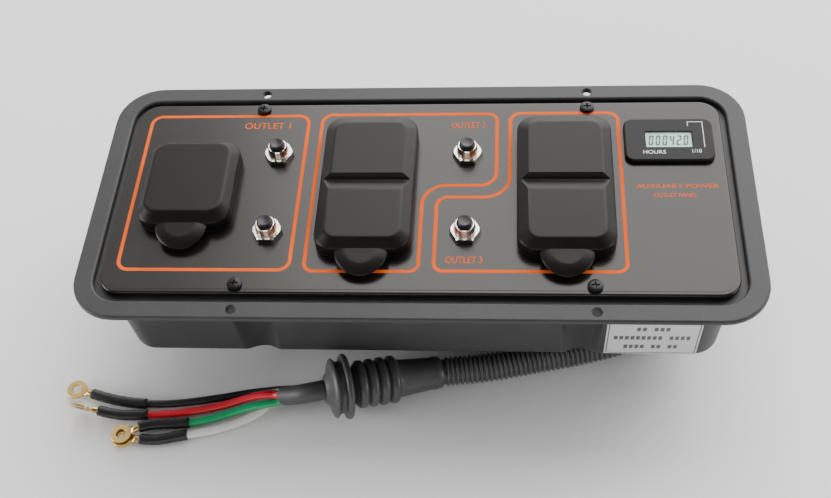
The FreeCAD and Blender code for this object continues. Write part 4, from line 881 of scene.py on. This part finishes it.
def make_breakers():
    nuts = []
    for number, (x, y) in enumerate(BREAKERS, start=1):
        low, high = box_of(f"breaker_body_{number}")
        case_top = PANEL_TOP - CASE_GAP
        case = levels(rectangle(x, y, CASE_LENGTH, CASE_WIDTH), [1.5] * 4,
                      foot_arc(low.z, 0.8) + edge_arc(case_top, 0.4))
        bushing = turned(bushing_profile(case_top, low.z, high.z), (x, y, low.z), segments=48)
        solid = combined(case, [bushing], "UNION")
        bore = turned([(BUSHING_BORE, PANEL_TOP - 9), (BUSHING_BORE, high.z - 0.35),
                       (4.5, high.z + 0.02), (4.5, high.z + 2)], (x, y, 0), segments=48)
        finish_mesh(f"breaker_{number}_bushing", combined(solid, [bore], "DIFFERENCE"), "nickel_plate",
                    replaces=(f"breaker_body_{number}",), crease=40)
        nuts.append(hex_nut(x, y, PANEL_TOP + FILM, PANEL_TOP + NUT_HEIGHT, NUT_FLATS,
                            BUSHING_RADIUS + 0.02))
        button = f"breaker_button_{number}"
        finish_mesh(f"breaker_{number}_cap", button_cap(x, y, button), "button_black",
                    body=f"breaker_{number}", replaces=(button,), crease=40)
    finish_mesh("breaker_nuts_hex", joined(nuts), "nickel_plate", replaces=("breaker_nuts",), crease=25)


make_breakers()


METER_BEZEL, METER_CASE, METER_WINDOW = (48.2, 30.2), (36.4, 23.8), (25, 11)
METER_RISE = 3
DIGIT_WIDE, DIGIT_TALL, DIGIT_PITCH, DIGIT_STROKE = 2.6, 7.0, 3.75, 0.95
DIGIT_LEAN, DIGIT_DEPTH = 0.12, 0.05
DIGITS = "000420"


def bar(x0, y0, x1, y1, z, thick=INK):
    return prism(corners_of(x0, y0, x1, y1), z, z + thick)


def seven_segments(digit, x, y, z):
    """One display digit from slanting bars."""
    lit = {"0": "abcdef", "2": "abged", "4": "fgbc"}[digit]
    wide, tall, stroke, middle = DIGIT_WIDE, DIGIT_TALL, DIGIT_STROKE, DIGIT_TALL / 2
    spots = {"a": (0.4, tall - stroke, wide - 0.4, tall), "d": (0.4, 0, wide - 0.4, stroke),
             "g": (0.4, middle - stroke / 2, wide - 0.4, middle + stroke / 2),
             "f": (0, middle + 0.2, stroke, tall - 0.3), "e": (0, 0.3, stroke, middle - 0.2),
             "b": (wide - stroke, middle + 0.2, wide, tall - 0.3),
             "c": (wide - stroke, 0.3, wide, middle - 0.2)}
    return [prism([(x + px + py * DIGIT_LEAN, y + py) for px, py in corners_of(*spots[key])],
                  z, z + DIGIT_DEPTH) for key in lit]


def make_meter():
    """Bezel and case with a window recess, the display's digits and the white marks."""
    top = PANEL_TOP + METER_RISE
    bezel = levels(rectangle(METER_X, METER_Y, *METER_BEZEL), [5] * 4,
                   [(PANEL_TOP + FILM, -0.3), (PANEL_TOP + FILM + 0.3, 0)] + edge_arc(top, 1.1))
    case = levels(rectangle(METER_X, METER_Y, *METER_CASE), [2] * 4,
                  foot_arc(box_of("meter_case")[0].z, 0.8) + [(PANEL_TOP + 1, 0)])
    recess = levels(rectangle(METER_X, METER_Y, *METER_WINDOW), [0.8] * 4,
                    [(top - 1.6, 0), (top - 0.3, 0), (top + 0.02, 0.35), (top + 1, 0.35)])
    solid = combined(bezel, [case], "UNION")
    finish_mesh("meter_bezel", combined(solid, [recess], "DIFFERENCE"), "meter_black",
                replaces=("meter_case",), crease=35)
    ink_foot, baseline = box_of("meter_display")[1].z + 0.01, METER_Y - 3.6
    digits = []
    for place, digit in enumerate(DIGITS):
        digits += seven_segments(digit, METER_X - 11.2 + place * DIGIT_PITCH, baseline, ink_foot)
    digits.append(bar(METER_X + 6.9, baseline, METER_X + 7.5, baseline + 0.6, ink_foot, DIGIT_DEPTH))
    finish_mesh("meter_digits", joined(digits), None, look=DIGIT_INK)
    marks = [lettering("HOURS", 127.5, 25.6, top, 3.6, 1.05),
             lettering("1/10", 150.0, 26.2, top, 3.6, 0.9),
             bar(146.5, 44.2, 146.9, 47.3, top), bar(146.5, 47.1, 154.9, 47.5, top),
             bar(154.5, 29.0, 154.9, 47.3, top)]
    finish_mesh("meter_marks", joined(marks), None, look=WHITE_PRINT)


make_meter()


# share of the label's height, places, their pitch, places left empty
LABEL_ROWS = [(0.79, 6, 3.0, (2,)), (0.52, 14, 2.9, (9,)), (0.24, 10, 2.9, (4, 7))]


LABEL_MARK, LABEL_MARK_SHARE = 3.8, 0.68
LABEL_BORDER, LABEL_MARGIN, LABEL_INK_DEPTH = 0.5, 0.9, 0.06


def make_label_print():
    """Plain blocks in place of the rating label's three printed lines, in a thin border."""
    low, high = box_of("rating_label")

    def mark(x0, x1, z0, z1):
        foot, head = (low.y + (high.z - z) * DRAFT - 0.02 for z in (z0, z1))
        return mesh_of([[(x0, foot + d, z0), (x1, foot + d, z0), (x1, head + d, z1), (x0, head + d, z1)]
                        for d in (0, -LABEL_INK_DEPTH)])
    marks = []
    for up, count, pitch, gap in LABEL_ROWS:
        z = low.z + (high.z - low.z) * up
        starts = [(low.x + high.x) / 2 + (number - count / 2) * pitch
                  for number in range(count) if number not in gap]
        marks += [mark(x, x + pitch * LABEL_MARK_SHARE, z - LABEL_MARK / 2, z + LABEL_MARK / 2)
                  for x in starts]
    left, right = low.x + LABEL_MARGIN, high.x - LABEL_MARGIN
    bottom, top = low.z + LABEL_MARGIN, high.z - LABEL_MARGIN
    marks += [mark(left, right, z, z + LABEL_BORDER) for z in (bottom, top - LABEL_BORDER)]
    marks += [mark(x, x + LABEL_BORDER, bottom + LABEL_BORDER, top - LABEL_BORDER)
              for x in (left, right - LABEL_BORDER)]
    finish_mesh("label_blocks", joined(marks), None, look=LABEL_INK)


make_label_print()


GLAND_GRIPS, GRIP_DEPTH = 16, 0.45
GLAND_COLLAR, GLAND_FLANGE, GLAND_THREAD, GLAND_OPENING = 11.5, 11.9, 7.8, 6.4


def make_gland():
    """Gripped collar outside the wall, thread through it."""
    low, high = box_of("conduit_gland")
    # distance from the open end, radius, share of the grip's depth
    stack = [(0, 10.2, 0), (0.8, 11.2, 0.4), (1.6, GLAND_COLLAR, 1), (12, GLAND_COLLAR, 1),
             (12.8, 11.2, 0.4), (13.4, 10.4, 0), (14.4, 10.4, 0), (15.0, GLAND_FLANGE, 0),
             (21.6, GLAND_FLANGE, 0), (22, GLAND_FLANGE - 0.3, 0), (22, GLAND_THREAD, 0),
             (high.y - low.y - 0.5, GLAND_THREAD, 0), (high.y - low.y, GLAND_THREAD - 0.5, 0),
             (high.y - low.y, GLAND_OPENING, 0), (0.6, GLAND_OPENING, 0), (0, 7.0, 0)]
    loops = []
    for along, radius, grip in stack:
        reach = [(a, radius + GRIP_DEPTH * grip * math.cos(GLAND_GRIPS * a)) for a in angles(96)]
        loops.append([(GLAND_AT.x + r * math.cos(a), low.y + along, GLAND_AT.z + r * math.sin(a))
                      for a, r in reach])
    finish_mesh("conduit_gland_gripped", mesh_of(loops, ring=True), "gland_nylon",
                replaces=("conduit_gland",), crease=40)


make_gland()


# ---------------------------------------------------------------- floor and light
FLOOR_REACH, FLOOR_LEVEL = 6.0, -0.0004
WORLD_COLOUR, WORLD_SIDEWAYS = (1.0, 0.985, 0.97, 1), 0.25
WORLD_RAMP = {"From Min": -0.45, "From Max": 0.9, "To Min": 0.16, "To Max": 1.6}
# name, place, target, width, height, power
LIGHTS = [
    ("key", (1.05, 1.5, 1.4), (1.05, 0, 0.08), 3.2, 2.6, 105),
    ("left_low", (-1.4, -0.35, 0.35), (-0.1, 0, 0.05), 0.8, 0.5, 15),
    ("right_low", (1.4, -0.4, 0.3), (0.15, 0, 0.05), 0.6, 0.4, 6),
    ("front_low", (-0.1, -1.3, 0.3), (0, -0.1, 0.03), 1.0, 0.25, 3.2),
]


def make_stage():
    mesh = bpy.data.meshes.new("floor")
    square = rectangle(0, 0, 2 * FLOOR_REACH, 2 * FLOOR_REACH)
    mesh.from_pydata([(x, y, FLOOR_LEVEL) for x, y in square], [], [(0, 1, 2, 3)])
    floor = bpy.data.objects.new("floor", mesh)
    bpy.context.scene.collection.objects.link(floor)
    mesh.materials.append(material("floor_white", (0.94, 0.94, 0.94), roughness=0.7, shade=0.01,
                                   shade_scale=2))
    make_world()


def make_world():
    """Surroundings that brighten smoothly from the dark front to the back, a little more on the right."""
    world = bpy.data.worlds.new("studio")
    bpy.context.scene.world = world
    world.use_nodes = True
    nodes, links = world.node_tree.nodes, world.node_tree.links
    background = nodes["Background"]
    background.inputs["Color"].default_value = WORLD_COLOUR
    place = nodes.new("ShaderNodeTexCoord")
    split = nodes.new("ShaderNodeSeparateXYZ")
    links.new(place.outputs["Generated"], split.inputs["Vector"])
    sideways = nodes.new("ShaderNodeMath")
    sideways.operation = "MULTIPLY_ADD"
    sideways.inputs[1].default_value = WORLD_SIDEWAYS
    links.new(split.outputs["X"], sideways.inputs[0])
    links.new(split.outputs["Y"], sideways.inputs[2])
    ramp = nodes.new("ShaderNodeMapRange")
    ramp.interpolation_type = "SMOOTHSTEP"
    for socket, value in WORLD_RAMP.items():
        ramp.inputs[socket].default_value = value
    links.new(sideways.outputs["Value"], ramp.inputs["Value"])
    links.new(ramp.outputs["Result"], background.inputs["Strength"])


def soft_light(name, at, target, width, height, power):
    data = bpy.data.lights.new(name, "AREA")
    data.shape, data.size, data.size_y, data.energy = "RECTANGLE", width, height, power
    lamp = bpy.data.objects.new(name, data)
    lamp.location = at
    lamp.rotation_mode = "QUATERNION"
    lamp.rotation_quaternion = (Vector(target) - Vector(at)).to_track_quat("-Z", "Y")
    bpy.context.scene.collection.objects.link(lamp)


make_stage()
for light in LIGHTS:
    soft_light(*light)

# ---------------------------------------------------------------- final scene update
bpy.context.view_layer.update()
